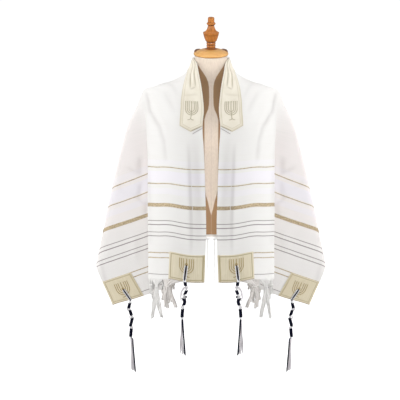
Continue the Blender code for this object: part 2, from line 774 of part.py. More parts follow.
STRIP_HEIGHT = 0.0030
STRIP_THICKNESS = 0.0020
STRIP_MARGIN = 0.012            # past the first and last yarns
ROOT_SPACING = 0.0090           # between the two yarns of a bundle, where they leave the strip
ROOT_WIDTH = 0.0028
YARN_THICKNESS = 0.0030
KNOT_THICKNESS = 0.0040
YARN_ROWS = [
    # share of the length, spacing of the pair, thickness
    (0.10, 0.0082, YARN_THICKNESS),
    (0.18, 0.0052, YARN_THICKNESS),
    (0.23, 0.0046, KNOT_THICKNESS),
    (0.28, 0.0046, KNOT_THICKNESS),
    (0.33, 0.0040, YARN_THICKNESS),
    (0.55, 0.0058, YARN_THICKNESS),
    (1.00, 0.0150, YARN_THICKNESS),
]


def end_edge():
    """The cloth's short end as its wall has it: rows of across, place, normal and way down."""
    panel = list(np.linspace(0.0, SHOULDER_ACROSS, PANEL_COLUMNS + 1))
    fan = [SHOULDER_ACROSS + FRONT_DROP * math.tan(math.radians(turn))
           for turn in FAN_TURNS[1:] if turn <= CORNER_TURN]
    rows = []
    for across in panel + fan:
        place, normal = cloth_point(CLOTH_HALF_LENGTH, across)
        above, _ = cloth_point(CLOTH_HALF_LENGTH - 0.01, across)
        way = (place - above) / np.linalg.norm(place - above)
        rows.append(np.concatenate([[across], place, normal, way]))
    return np.array(rows)


def make_fringe(name, side, finish):
    """A narrow strip along the cloth's end, with knotted pairs of yarns fused into it."""
    edge = end_edge()
    roots = []
    for bundle in range(FRINGE_BUNDLES):
        middle = FRINGE_FIRST + bundle * FRINGE_PITCH
        for way in (-1, 1):
            centre = middle + way * ROOT_SPACING / 2
            roots.append((centre - ROOT_WIDTH / 2, centre + ROOT_WIDTH / 2))
    first, last = roots[0][0] - STRIP_MARGIN, roots[-1][1] + STRIP_MARGIN
    stations = {first, last}
    stations.update(limit for root in roots for limit in root)
    for across in edge[:, 0]:
        clear = all(across < low - 0.001 or across > high + 0.001 for low, high in roots)
        if clear and first < across < last:
            stations.add(float(across))
    stations = sorted(stations)
    vertices, faces = [], []
    mirror = np.array((side, 1.0, 1.0))
    half = STRIP_THICKNESS / 2
    for across in stations:
        row = np.array([np.interp(across, edge[:, 0], edge[:, k]) for k in range(1, 10)])
        place, normal, way = row[:3], row[3:6], row[6:]
        top, bottom = place + way * GAP, place + way * (GAP + STRIP_HEIGHT)
        for corner in (top + normal * half, top - normal * half,
                       bottom - normal * half, bottom + normal * half):
            vertices.append(corner * mirror)
    for k in range(len(stations) - 1):
        a, b = 4 * k, 4 * k + 4
        for n in (0, 1, 3):
            faces.append((a + n, a + (n + 1) % 4, b + (n + 1) % 4, b + n))
    faces += [(0, 1, 2, 3), tuple(4 * (len(stations) - 1) + n for n in range(4))]
    pairs = {}
    for k, (low, high) in enumerate(zip(stations, stations[1:])):
        cell = (4 * k + 2, 4 * k + 3, 4 * k + 7, 4 * k + 6)
        if (low, high) in roots:
            pairs.setdefault(roots.index((low, high)) // 2, []).append(cell)
        else:
            faces.append(cell)
    for bundle, cells in pairs.items():
        centres = [sum(vertices[corner] for corner in cell) / 4 for cell in cells]
        middle = (centres[0] + centres[1]) / 2
        wide = centres[1] - centres[0]
        wide[2] = 0.0
        wide /= np.linalg.norm(wide)
        deep = np.cross((0.0, 0.0, 1.0), wide)
        length = FRINGE_LENGTH * (1.0 + 0.07 * math.sin(2.3 * bundle))
        for order, cell in enumerate(cells):
            away = 2 * order - 1
            ring = order_root(vertices, cell, wide, deep)
            own_length = length * (1.0 - 0.05 * ((bundle + order) % 2))
            places = []
            for share, spacing, thickness in YARN_ROWS:
                sideways = away * spacing / 2 + 0.004 * share * math.sin(1.7 * bundle + 0.6)
                centre = middle + wide * sideways - np.array((0.0, 0.0, own_length * share))
                places.append((centre, thickness))
            strand(vertices, faces, ring, places, wide, deep)
    return add_object(name, vertices, faces, finish)


def order_root(vertices, cell, wide, deep):
    """A root cell's corners in the order of a strand's section."""
    centre = sum(vertices[corner] for corner in cell) / 4

    def angle(corner):
        away = vertices[corner] - centre
        return math.atan2(float(away @ deep), float(away @ wide))
    return sorted(cell, key=angle)


# ---------------------------------------------------------------- dress form and stand

def turned(name, profile, sides, finish, place=Matrix.Identity(4)):
    """A solid of revolution from rows of height and radius, closed flat at both ends."""
    vertices = []
    for height, radius in profile:
        for step in range(sides):
            angle = 2 * math.pi * step / sides
            vertices.append(place @ Vector((radius * math.cos(angle), radius * math.sin(angle), height)))
    faces = tube_faces(len(profile), sides)
    faces.append(tuple(reversed(range(sides))))
    faces.append(tuple(range((len(profile) - 1) * sides, len(profile) * sides)))
    return add_object(name, vertices, faces, finish, smooth=True)


def make_form():
    """The padded torso, whose neck top slopes down to the front."""
    vertices = []
    power = 2.0 / FORM_SQUARENESS
    for height, half_width, front, back in FORM_SECTIONS:
        tilt = math.tan(NECK_TILT) * float(ease(height, 1.094, NECK_TOP))
        for step in range(FORM_SIDES):
            angle = 2 * math.pi * step / FORM_SIDES
            x = math.copysign(abs(math.cos(angle)) ** power, math.cos(angle)) * half_width
            depth = back if math.sin(angle) > 0 else front
            y = math.copysign(abs(math.sin(angle)) ** power, math.sin(angle)) * depth
            vertices.append((x, y, height + y * tilt))
    faces = tube_faces(len(FORM_SECTIONS), FORM_SIDES)
    faces.append(tuple(reversed(range(FORM_SIDES))))
    faces.append(tuple(range(len(vertices) - FORM_SIDES, len(vertices))))
    add_object("form_torso", vertices, faces, material("form_linen", FORM_LINEN, 0.85), smooth=True)


def make_cap_and_finial():
    """The wooden neck cap and the turned finial on it, both square to the sloping neck top."""
    neck = Matrix.Translation((0.0, 0.0, NECK_TOP)) @ Matrix.Rotation(NECK_TILT, 4, "X")
    cap_height = CAP_PROFILE[-1][0]
    turned("neck_cap", CAP_PROFILE, FORM_SIDES, material("cap_maple", CAP_MAPLE, 0.35),
           neck @ Matrix.Translation((0.0, 0.0, GAP)))
    turned("finial", FINIAL_PROFILE, FINIAL_SIDES, material("finial_wood", FINIAL_WOOD, 0.25),
           neck @ Matrix.Translation((0.0, 0.0, cap_height + 2 * GAP)))


def make_stand():
    """The round floor plate, and the pole with its foot flange and the collar under the form."""
    lacquer = material("stand_lacquer", STAND_LACQUER, 0.4)
    base = [
        (0.0, BASE_RADIUS - BASE_BEVEL),
        (BASE_BEVEL, BASE_RADIUS),
        (BASE_THICKNESS - BASE_BEVEL, BASE_RADIUS),
        (BASE_THICKNESS, BASE_RADIUS - BASE_BEVEL),
    ]
    turned("stand_base", base, 40, lacquer)
    foot = BASE_THICKNESS + GAP
    top = FORM_BOTTOM - GAP
    flange = 0.010
    pole = [
        (foot, COLLAR_RADIUS),
        (foot + flange, COLLAR_RADIUS - 0.004),
        (foot + flange + 0.002, POLE_RADIUS),
        (top - COLLAR_HEIGHT - 0.006, POLE_RADIUS),
        (top - COLLAR_HEIGHT, COLLAR_RADIUS),
        (top, COLLAR_RADIUS),
    ]
    turned("stand_pole", pole, 20, lacquer)


# ---------------------------------------------------------------- the whole part

right_end = end_layout(SHOULDER_ALONG)
whole_cloth = [back_layout(SHOULDER_ALONG), right_end, right_end.mirrored()]

make_shawl()
make_neckband(whole_cloth)
make_patches(whole_cloth)
make_tassels()
yarn = material("fringe_yarn", FRINGE_YARN, 0.9)
make_fringe("fringe_right", 1, yarn)
make_fringe("fringe_left", -1, yarn)
make_form()
make_cap_and_finial()
make_stand()

for finished in bpy.context.scene.objects:
    shape = bmesh.new()
    shape.from_mesh(finished.data)
    bmesh.ops.recalc_face_normals(shape, faces=shape.faces)
    shape.to_mesh(finished.data)
    shape.free()
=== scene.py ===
import math

import bpy
import numpy as np
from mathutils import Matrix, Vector


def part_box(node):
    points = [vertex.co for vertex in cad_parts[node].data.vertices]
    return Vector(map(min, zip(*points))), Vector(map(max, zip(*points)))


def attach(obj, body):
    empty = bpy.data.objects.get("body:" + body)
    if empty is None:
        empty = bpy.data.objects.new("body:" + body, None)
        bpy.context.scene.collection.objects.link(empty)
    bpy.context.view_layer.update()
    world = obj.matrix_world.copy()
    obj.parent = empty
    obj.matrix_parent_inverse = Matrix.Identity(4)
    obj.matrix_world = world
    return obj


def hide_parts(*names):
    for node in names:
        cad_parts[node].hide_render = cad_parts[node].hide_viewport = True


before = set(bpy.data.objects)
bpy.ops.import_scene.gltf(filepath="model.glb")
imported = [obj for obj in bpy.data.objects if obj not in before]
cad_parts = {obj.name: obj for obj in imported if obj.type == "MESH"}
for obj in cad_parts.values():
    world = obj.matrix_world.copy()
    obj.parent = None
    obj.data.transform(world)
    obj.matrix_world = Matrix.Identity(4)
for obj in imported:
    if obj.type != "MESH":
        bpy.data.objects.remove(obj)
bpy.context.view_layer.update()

# ---------------------------------------------------------------- floor plate and pole
# The stand is a round steel plate with a tube pole screwed into it. A turned flange hides the
# thread, and a collar on top carries the form. Both pieces are powder coated white.


class Pile:
    """Quads of one mesh while it is put together, with a flat place in metres at each corner."""

    def __init__(self):
        self.points, self.shades, self.faces, self.flats, self.kinds = [], [], [], [], []
        self.count = 0

    def add_points(self, points, shade=0.0):
        """Points, each with how deep it lies in the shade of a crease, from 0 to 1."""
        points = np.asarray(points, float).reshape(-1, 3)
        self.points.append(points)
        self.shades.append(np.broadcast_to(np.ravel(shade), len(points)))
        self.count += len(points)
        return self.count - len(points)

    def add_quads(self, corners, flats, kind=0):
        """Quads from four arrays of point numbers, and four of flat places."""
        self.faces.append(np.stack(corners, -1).reshape(-1, 4))
        self.flats.append(np.stack(flats, -2).reshape(-1, 2))
        self.kinds.append(np.full(len(self.faces[-1]), kind))

    def add_grid(self, points, flats, ring=False, turned_over=False, kind=0, shade=0.0):
        """Quads over rows and columns of points. A ring joins its last column to its first."""
        rows, columns = points.shape[:2]
        start = self.add_points(points, shade)
        r, c = np.meshgrid(np.arange(rows - 1), np.arange(columns if ring else columns - 1), indexing="ij")
        corners = [(r, c), (r, c + 1), (r + 1, c + 1), (r + 1, c)]
        if turned_over:
            corners.reverse()
        index = [start + i * columns + j % columns for i, j in corners]
        self.add_quads(index, [flats[i, j] for i, j in corners], kind)
        return start

    def add_tube(self, points, around, run, turned_over=False, kind=0):
        """Rings of points, closed at both ends by flat faces round each ring's first point."""
        flats = np.stack(np.broadcast_arrays(around, run[:, None]), -1)
        start = self.add_grid(points, flats, True, turned_over, kind)
        rings, sides = points.shape[:2]
        for first, end_run, backward in ((start, run[0], not turned_over),
                                         (start + (rings - 1) * sides, run[-1], turned_over)):
            ring = list(range(first, first + sides))[::-1 if backward else 1]
            for before, after in zip(ring[1:], ring[2:]):
                self.faces.append(np.array([[ring[0], before, after, -1]]))
                self.flats.append(np.tile((0.0, float(end_run)), (4, 1)))
                self.kinds.append(np.array([kind]))

    def make(self, name, finishes, sharp_angle=None):
        """The object, smooth but for edges sharper than the angle in degrees."""
        faces = np.concatenate(self.faces)
        flats = np.concatenate(self.flats).reshape(-1, 4, 2)
        mesh = bpy.data.meshes.new(name)
        mesh.from_pydata(np.concatenate(self.points).tolist(), [],
                         [[corner for corner in face if corner >= 0] for face in faces.tolist()])
        mesh.uv_layers.new(name="flat").data.foreach_set("uv", flats[faces >= 0].ravel())
        mesh.attributes.new("shade", "FLOAT", "POINT").data.foreach_set("value", np.concatenate(self.shades))
        mesh.polygons.foreach_set("material_index", np.concatenate(self.kinds))
        for finish in finishes:
            mesh.materials.append(finish)
        mesh.shade_smooth()
        if sharp_angle is not None:
            mesh.set_sharp_from_angle(angle=math.radians(sharp_angle))
        made = bpy.data.objects.new(name, mesh)
        bpy.context.scene.collection.objects.link(made)
        return made


class Wire:
    """An output of the material that is being made. Arithmetic on wires adds Math nodes."""

    tree = None

    def __init__(self, socket):
        self.socket = socket

    @staticmethod
    def node(kind, settings, inputs, output=0):
        """The output of a new node, with its settings made first and then its sockets filled."""
        made = Wire.tree.nodes.new("ShaderNode" + kind)
        for name, value in settings.items():
            if name == "stops":
                while len(made.color_ramp.elements) < len(value):
                    made.color_ramp.elements.new(1.0)
                for stop, (place, colour) in zip(made.color_ramp.elements, value):
                    stop.position = place
                    stop.color = (*colour, 1.0)
            else:
                setattr(made, name, value)
        for name, value in inputs.items():
            Wire.join(value, made.inputs[name])
        return Wire(made.outputs[output])

    @staticmethod
    def join(value, target):
        """A link from a wire, or a plain value, into a socket."""
        if isinstance(value, Wire):
            Wire.tree.links.new(value.socket, target)
        elif isinstance(value, tuple) and target.type == "RGBA":
            target.default_value = (*value, 1.0)
        else:
            target.default_value = value

    @staticmethod
    def maths(operation, *values):
        return Wire.node("Math", {"operation": operation}, dict(enumerate(values)))

    def __add__(self, other):
        return Wire.maths("ADD", self, other)

    def __radd__(self, other):
        return Wire.maths("ADD", other, self)

    def __sub__(self, other):
        return Wire.maths("SUBTRACT", self, other)

    def __rsub__(self, other):
        return Wire.maths("SUBTRACT", other, self)

    def __mul__(self, other):
        return Wire.maths("MULTIPLY", self, other)

    def __rmul__(self, other):
        return Wire.maths("MULTIPLY", other, self)

    def __truediv__(self, other):
        return Wire.maths("DIVIDE", self, other)

    def __rtruediv__(self, other):
        return Wire.maths("DIVIDE", other, self)

    def __abs__(self):
        return Wire.maths("ABSOLUTE", self)


def start_finish(name):
    """A new Principled material. The wires made next belong to it."""
    made = bpy.data.materials.new(name)
    made.use_nodes = True
    Wire.tree = made.node_tree
    return made


def set_finish(finish, constants, colour, roughness, relief=None, depth=0.001, **varying):
    """Fill the material's sockets. Relief is a height from 0 to 1, and depth its metres."""
    sockets = finish.node_tree.nodes["Principled BSDF"].inputs
    for name, value in {**constants, "Base Color": colour, "Roughness": roughness, **varying}.items():
        Wire.join(value, sockets[name])
    if relief is not None:
        bump = Wire.node("Bump", {}, {"Strength": 1.0, "Distance": depth, "Height": relief})
        Wire.join(bump, sockets["Normal"])


def world_place():
    """The place in metres."""
    return Wire.node("TexCoord", {}, {}, "Object")


def noise(place, scale, detail=2.0, rough=0.5):
    """Soft noise round 0.5, at a place given as a vector or as its three numbers."""
    if isinstance(place, tuple):
        place = Wire.node("CombineXYZ", {}, dict(enumerate(place)))
    return Wire.node("TexNoise", {}, {"Vector": place, "Scale": scale, "Detail": detail, "Roughness": rough})


def rise(value, low, high):
    """0 below low, 1 above high, and smooth between them."""
    return Wire.node("MapRange", {"interpolation_type": "SMOOTHSTEP"},
                     {"Value": value, "From Min": low, "From Max": high}, "Result")


def blend(share, first, second, **settings):
    """From the first colour at 0 to the second at 1."""
    return Wire.node("Mix", {"data_type": "RGBA", **settings}, {0: share, 6: first, 7: second}, 2)


def soft_corners(rows, radius):
    """A profile with each inner corner cut to a short arc."""
    rows = [np.array(row, float) for row in rows]
    made = [rows[0]]
    for before, corner, after in zip(rows, rows[1:], rows[2:]):
        near = [corner + (end - corner) * min(0.45, radius / np.linalg.norm(end - corner))
                for end in (before, after)]
        for share in (0.0, 0.25, 0.5, 0.75, 1.0):
            made.append(near[0] * (1 - share) ** 2 + corner * 2 * share * (1 - share) + near[1] * share**2)
    return np.array(made + [rows[-1]])


def lengths_along(path):
    """How far along a line each of its points lies."""
    return np.concatenate([[0.0], np.cumsum(np.linalg.norm(np.diff(path, axis=0), axis=1))])


def once_round(sides):
    return np.linspace(0.0, 2 * math.pi, sides, endpoint=False)


def turn(profile, sides=96, lean=0.0, foot=(0.0, 0.0, 0.0)):
    """A turned solid from rows of height and radius, leaned forward on its foot."""
    angle = once_round(sides)
    height, radius = profile[:, 0, None], profile[:, 1, None]
    x, y = radius * np.cos(angle), radius * np.sin(angle)
    z = np.broadcast_to(height, x.shape)
    cosine, sine = math.cos(lean), math.sin(lean)
    points = np.stack([x, y * cosine - z * sine, y * sine + z * cosine], -1)
    around = np.linspace(0.0, 2 * math.pi, sides + 1) * profile[:, 1].mean()
    pile = Pile()
    pile.add_tube(points + np.array(foot), around, lengths_along(profile))
    return pile


plate_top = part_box("stand_base")[1]
pole_foot, pole_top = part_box("stand_pole")
POLE_RADIUS = 0.0125
FLANGE_HEIGHT, FLANGE_SLOPE, FLANGE_NECK = 0.010, 0.004, 0.008
COLLAR_HEIGHT, COLLAR_SLOPE = 0.014, 0.006
PLATE_EDGE = 0.003
STAND_ROUNDING = 0.0015
COATING_WHITE = (0.91, 0.91, 0.905)
COATING_SHADE = (0.86, 0.86, 0.855)

coating = start_finish("stand_powder_coat")
place = world_place()
peel = noise(place, 620.0, 1.0)
patchy = noise(place, 9.0, 3.0)
set_finish(coating, {"Specular IOR Level": 0.4},
           blend(rise(patchy, 0.35, 0.75), COATING_WHITE, COATING_SHADE), 0.42 + patchy * 0.12,
           relief=peel, depth=0.00012)

plate_rows = [(0.0, plate_top.x - PLATE_EDGE), (PLATE_EDGE, plate_top.x),
              (plate_top.z - PLATE_EDGE, plate_top.x), (plate_top.z, plate_top.x - PLATE_EDGE),
              (plate_top.z, 0.002)]
floor_plate = turn(soft_corners(plate_rows, STAND_ROUNDING), 160).make("floor_plate", [coating], 50)
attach(floor_plate, "root")
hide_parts("stand_base")

flange_top, collar_foot = pole_foot.z + FLANGE_HEIGHT, pole_top.z - COLLAR_HEIGHT
pole_rows = [(pole_foot.z, pole_top.x), (flange_top, pole_top.x - FLANGE_SLOPE),
             (flange_top + 0.002, POLE_RADIUS + 0.001), (flange_top + FLANGE_NECK, POLE_RADIUS),
             (collar_foot - COLLAR_SLOPE, POLE_RADIUS), (collar_foot, pole_top.x), (pole_top.z, pole_top.x)]
pole = turn(soft_corners(pole_rows, STAND_ROUNDING), 64).make("pole", [coating], 50)
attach(pole, "root")
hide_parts("stand_pole")

# ---------------------------------------------------------------- padded form
# The form is a papier-mache torso padded and covered in beige jersey, with a seam down the
# middle of the front. Shade is painted into its colour: brown either side of a lit middle stretch
# where the shawl shades it, brown all over at the bottom, and dimmer above the bust.

NECK_TOP = 1.1795
NECK_LEAN = math.radians(20.0)
NECK_LEANS_FROM = 1.094
# millimetres: z, half width, front depth, back depth
FORM_SECTIONS = np.array([
    (589, 116, 82, 82), (610, 122, 87, 87), (660, 118, 86, 84), (740, 103, 80, 73), (800, 110, 88, 75),
    (860, 126, 107, 82), (920, 142, 119, 90), (970, 158, 114, 95), (1010, 176, 102, 94), (1035, 182, 90, 87),
    (1053, 170, 80, 80), (1068, 142, 71, 72), (1081, 106, 64, 66), (1094, 78, 59, 61), (1110, 62, 56, 58),
    (1135, 55.5, 54.5, 55.5), (1179.5, 54, 54, 54)]) / 1000
FORM_ROWS, FORM_SIDES = 170, 120
FORM_SQUARENESS = 2.2
# millimetres: z, half width of the stretch painted as lit, and from 0 to 1 how brightly it is painted
LIT_WIDTHS = [
    (650, 0, 1.0), (660, 2.6, 1.0), (673, 6.1, 1.0), (696.5, 11.3, 1.0), (715, 17, 1.0), (740, 22, 1.0),
    (880, 22, 1.0), (957, 22, 0.70), (974, 17.5, 0.67), (990, 10.4, 0.65), (1006, 7.4, 0.64),
    (1032, 6.5, 0.63), (1066, 7.1, 0.62), (1084, 10, 0.61), (1100, 16.5, 0.67), (1116, 26.5, 0.72),
    (1132, 37, 0.76), (1150, 48, 0.78), (1158, 80, 0.78)]
WIDEST_LIT = 80
LIT_EDGE = 0.0016
JERSEY_WALE, JERSEY_COURSE = 0.0016, 0.0012
JERSEY = (0.85, 0.730, 0.610)
JERSEY_FLECK = (0.78, 0.66, 0.55)
# painted shade colours of the jersey
JERSEY_SHADE = (0.43, 0.250, 0.130)
JERSEY_SHADE_FLECK = (0.42, 0.250, 0.125)
SEAM_BROWN = (0.30, 0.20, 0.13)
UNLIT = (0.0, 0.0, 0.0)


def ease(value, low, high):
    """Smooth step from 0 at low to 1 at high."""
    share = np.clip((value - low) / (high - low), 0.0, 1.0)
    return share * share * (3.0 - 2.0 * share)


def curve_through(stations, points, wanted, first_slope=None, last_slope=None):
    """Smooth curve through the points, without overshoot, read at the wanted stations."""
    stations = np.asarray(stations, float)
    points = np.asarray(points, float).reshape(len(stations), -1)
    steps = np.diff(stations)[:, None]
    chords = np.diff(points, axis=0) / steps
    slopes = np.zeros_like(points)
    slopes[0] = chords[0] if first_slope is None else first_slope
    slopes[-1] = chords[-1] if last_slope is None else last_slope
    before, after = chords[:-1], chords[1:]
    same_way = before * after > 0.0
    total = np.where(same_way, before + after, 1.0)
    slopes[1:-1] = np.where(same_way, 2.0 * before * after / total, 0.0)
    span = np.clip(np.searchsorted(stations, wanted) - 1, 0, len(steps) - 1)
    step = steps[span]
    t = (np.asarray(wanted, float)[:, None] - stations[span][:, None]) / step
    return (points[span] * (2 * t**3 - 3 * t**2 + 1) + slopes[span] * step * (t**3 - 2 * t**2 + t)
            + points[span + 1] * (3 * t**2 - 2 * t**3) + slopes[span + 1] * step * (t**3 - t**2))


def form_pile():
    """The torso as one closed loft, whose neck top slopes down to the front."""
    height = np.linspace(FORM_SECTIONS[0, 0], NECK_TOP, FORM_ROWS)
    section = curve_through(FORM_SECTIONS[:, 0], FORM_SECTIONS[:, 1:], height)
    angle = once_round(FORM_SIDES)
    cosine, sine = (np.sign(wave) * np.abs(wave) ** (2.0 / FORM_SQUARENESS)
                    for wave in (np.cos(angle), np.sin(angle)))
    x = section[:, 0, None] * cosine
    y = np.where(sine > 0, section[:, 2, None], section[:, 1, None]) * sine
    z = height[:, None] + y * math.tan(NECK_LEAN) * ease(height, NECK_LEANS_FROM, NECK_TOP)[:, None]
    pile = Pile()
    pile.add_tube(np.stack([x, y, z], -1), np.linspace(0.0, 1.0, FORM_SIDES + 1) * 0.6, height)
    return pile


def parts_of(vector):
    """The three numbers of a vector."""
    made = Wire.node("SeparateXYZ", {}, {0: vector})
    return [Wire(output) for output in made.socket.node.outputs]


def flat_place():
    """The place in metres on the piece laid flat, first across it or around it, then along it."""
    return parts_of(Wire.node("UVMap", {"uv_map": "flat"}, {}))[:2]


def waves(value, pitch):
    return Wire.maths("SINE", value * (2 * math.pi / pitch))


# painted shade: outside the lit stretch the jersey takes its painted shade colours, and how_lit dims it above
# the bust
jersey = start_finish("form_jersey")
x, y, z = parts_of(world_place())
around, up = flat_place()
low, tall = LIT_WIDTHS[0][0], LIT_WIDTHS[-1][0] - LIT_WIDTHS[0][0]
stops = [((row_z - low) / tall, (width / WIDEST_LIT, lit, 0.0)) for row_z, width, lit in LIT_WIDTHS]
up_share = (z - low / 1000) / (tall / 1000)
lit_share, how_lit, _ = parts_of(Wire.node("ValToRGB", {"stops": stops}, {"Fac": up_share}))
painted_side_shade = rise(abs(x) - lit_share * (WIDEST_LIT / 1000), -LIT_EDGE, LIT_EDGE)
heather = noise((x, y, z * 0.35), 260.0, 3.0, 0.6)
loops = waves(around, JERSEY_WALE) * waves(up, JERSEY_COURSE)
seam = 1 - rise(abs(x), 0.0004, 0.0014)
flecks = rise(heather, 0.35, 0.7)
in_light = blend(how_lit, UNLIT, blend(flecks, JERSEY, JERSEY_FLECK))
in_shade = blend(Wire.maths("POWER", how_lit, 1.4), UNLIT, blend(flecks, JERSEY_SHADE, JERSEY_SHADE_FLECK))
set_finish(jersey, {"Specular IOR Level": 0.25, "Sheen Weight": 0.12, "Sheen Roughness": 0.5},
           blend(seam * 0.16, blend(painted_side_shade, in_light, in_shade), SEAM_BROWN), 0.9,
           relief=loops * 0.25 + heather * 0.3 - seam * 0.7, depth=0.0005)

torso = form_pile().make("torso", [jersey], 60)
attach(torso, "root")
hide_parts("form_torso")

# ---------------------------------------------------------------- neck cap
# The cap is a domed disc of maple on the neck, varnished. A dark bead round its rim behind and
# painted shade on that rim stand for shade there, and a painted shadow runs round its foot. It
# leans forward with the neck's top.

CLEARANCE = 0.0003
# millimetres: height, radius
CAP_ROWS = np.array([(0, 55.5), (1.4, 57.3), (5.2, 57.3), (7.5, 54.5), (11.8, 45), (16, 34),
                     (19, 21.2)]) / 1000
# painted shade on the rim behind starts at this radius
REAR_SHADE_FROM = 0.0490
BEAD_RADIUS, BEAD_OUT, BEAD_HEIGHT = 0.0050, 0.0530, 0.0088
BEAD_TURNS = [(2.0, 48.0), (132.0, 178.0)]
MAPLE = (0.66, 0.385, 0.130)
MAPLE_GRAIN = (0.54, 0.245, 0.062)
RIM_PAINTED_SHADE = (0.11, 0.038, 0.012)
BEAD_PAINTED_SHADE = (0.17, 0.060, 0.020)


def neck_foot(height):
    """The place at that height up the leaning line through the neck's top."""
    return (0.0, -height * math.sin(NECK_LEAN), NECK_TOP + height * math.cos(NECK_LEAN))


def climb_of(y, z):
    """How far up that leaning line a place in a material lies."""
    return (z - NECK_TOP) * math.cos(NECK_LEAN) - y * math.sin(NECK_LEAN)


def unit(vectors):
    return vectors / np.linalg.norm(vectors, axis=-1, keepdims=True)


def sweep(pile, path, radius, sides, kind=0, ups=None, flatness=1.0):
    """A closed tube along a path. With ups it is flattened along them."""
    path = np.asarray(path, float)
    ways = unit(np.gradient(path, axis=0))
    if ups is None:
        up = np.cross(ways[0], (0.31, 0.93, 0.17))
        ups = []
        for way in ways:
            up = unit(up - way * (up @ way))
            ups.append(up)
    ups = np.asarray(ups)
    wide = unit(np.cross(ways, ups))
    angle = once_round(sides)[:, None]
    radius = np.broadcast_to(radius, len(path))[:, None, None]
    rings = wide[:, None] * np.cos(angle) + ups[:, None] * np.sin(angle) * flatness
    pile.add_tube(path[:, None] + radius * rings, np.linspace(0.0, 1.0, sides + 1), lengths_along(path),
                  True, kind)


def coats(colour, *layers):
    """The colour with each further one laid over it, by its share."""
    for share, over in layers:
        colour = blend(share, colour, over)
    return colour


cap_finish = start_finish("cap_maple_varnish")
x, y, z = parts_of(world_place())
grain = noise((x * 3.0, y * 40.0, z * 40.0), 6.0, 4.0, 0.6)
radius = Wire.maths("SQRT", x * x + (y + 0.002) * (y + 0.002))
# painted shade on the rim behind, and a painted shadow round the cap's foot
rear_shade = rise(radius, REAR_SHADE_FROM, REAR_SHADE_FROM + 0.0015) * rise(y, 0.004, 0.012)
foot_shadow = (1 - rise(climb_of(y, z), 0.0016, 0.0048)) * 0.45
set_finish(cap_finish, {"Coat Weight": 0.3, "Coat Roughness": 0.12, "Specular IOR Level": 0.3},
           coats(MAPLE, (rise(grain, 0.35, 0.75), MAPLE_GRAIN), (foot_shadow, RIM_PAINTED_SHADE),
                 (rear_shade, RIM_PAINTED_SHADE)),
           0.34 + grain * 0.12, relief=grain, depth=0.00015)

# the bead behind the dome is painted dark as shade
bead_shade_finish = start_finish("cap_bead_painted_shade")
grain = noise(world_place(), 160.0, 3.0)
set_finish(bead_shade_finish, {"Coat Weight": 0.4, "Coat Roughness": 0.15}, blend(grain, RIM_PAINTED_SHADE, BEAD_PAINTED_SHADE),
           0.40 + grain * 0.1, relief=grain, depth=0.00015)

pile = turn(soft_corners(CAP_ROWS, 0.0008), 128, NECK_LEAN, neck_foot(CLEARANCE))
# a dark bead on the rim behind, put there for shade
for turn_range in BEAD_TURNS:
    angle = np.radians(np.linspace(*turn_range, 24))
    bead_x, bead_y = BEAD_OUT * np.cos(angle), BEAD_OUT * np.sin(angle)
    bead = np.stack([bead_x, bead_y * math.cos(NECK_LEAN), bead_y * math.sin(NECK_LEAN)], -1)
    share = (angle - angle[0]) / (angle[-1] - angle[0])
    thick = BEAD_RADIUS * np.sqrt(np.sin(share * math.pi) * 0.85 + 0.15)
    sweep(pile, bead + neck_foot(BEAD_HEIGHT), thick, 10, 1)
cap = pile.make("cap", [cap_finish, bead_shade_finish], 50)
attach(cap, "root")
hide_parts("neck_cap")

# ---------------------------------------------------------------- finial
# The finial is turned from reddish hardwood: a waisted foot with two beads, a cup with a sharp
# shoulder, a tapering neck, a ring and a plain knob on top.

# millimetres: height, radius, and whether the corner there is sharp
FINIAL_ROWS = [
    (0.0, 21.2, 1), (1.0, 18.5, 0), (2.6, 15.4, 0), (6.0, 13.6, 1), (10.0, 15.2, 0), (14.6, 13.8, 1),
    (18.2, 15.2, 0), (23.1, 14.3, 1), (29.3, 19.0, 0), (43.0, 23.8, 0), (54.9, 26.7, 1), (58.0, 20.7, 0),
    (62.8, 15.7, 0), (69.0, 12.8, 0), (78.1, 10.6, 0), (80.2, 11.2, 1), (81.9, 14.2, 0), (84.7, 14.8, 0),
    (86.7, 13.8, 0), (88.0, 10.9, 1), (103.6, 10.5, 0), (105.0, 8.8, 1)]
# painted shade in the grooves and under sharp corners: height, half width, how dark
GROOVE_SHADES = [
    (0.0030, 0.0030, 0.70), (0.0062, 0.0018, 0.60), (0.0146, 0.0024, 0.95), (0.0231, 0.0026, 1.00),
    (0.0262, 0.0060, 0.45), (0.0488, 0.0022, 0.50), (0.0802, 0.0028, 0.95), (0.0882, 0.0014, 0.50)]
FINIAL_RED = (0.33, 0.108, 0.018)
# dark for the wood's pores and for the painted shade in the grooves
FINIAL_DARK = (0.085, 0.022, 0.006)
FINIAL_LIGHT = (0.47, 0.175, 0.034)


def turned_profile(rows, step):
    """The profile carried smoothly from sharp corner to sharp corner."""
    made = []
    start = 0
    for end in range(1, len(rows)):
        if not rows[end][2]:
            continue
        stretch = np.array([row[:2] for row in rows[start:end + 1]]) / 1000
        run = lengths_along(stretch)
        curve = curve_through(run, stretch, np.linspace(0.0, run[-1], max(3, round(run[-1] / step))))
        made.append(curve if not made else curve[1:])
        start = end
    return np.concatenate(made)


finial_finish = start_finish("finial_varnish")
finial_foot = CAP_ROWS[-1, 0] + 2 * CLEARANCE
x, y, z = parts_of(world_place())
climb = climb_of(y, z) - finial_foot
grain = noise((x * 30.0, y * 30.0, z * 3.0), 5.0, 5.0, 0.65)
pores = noise((x * 220.0, y * 220.0, z * 18.0), 6.0, 2.0)
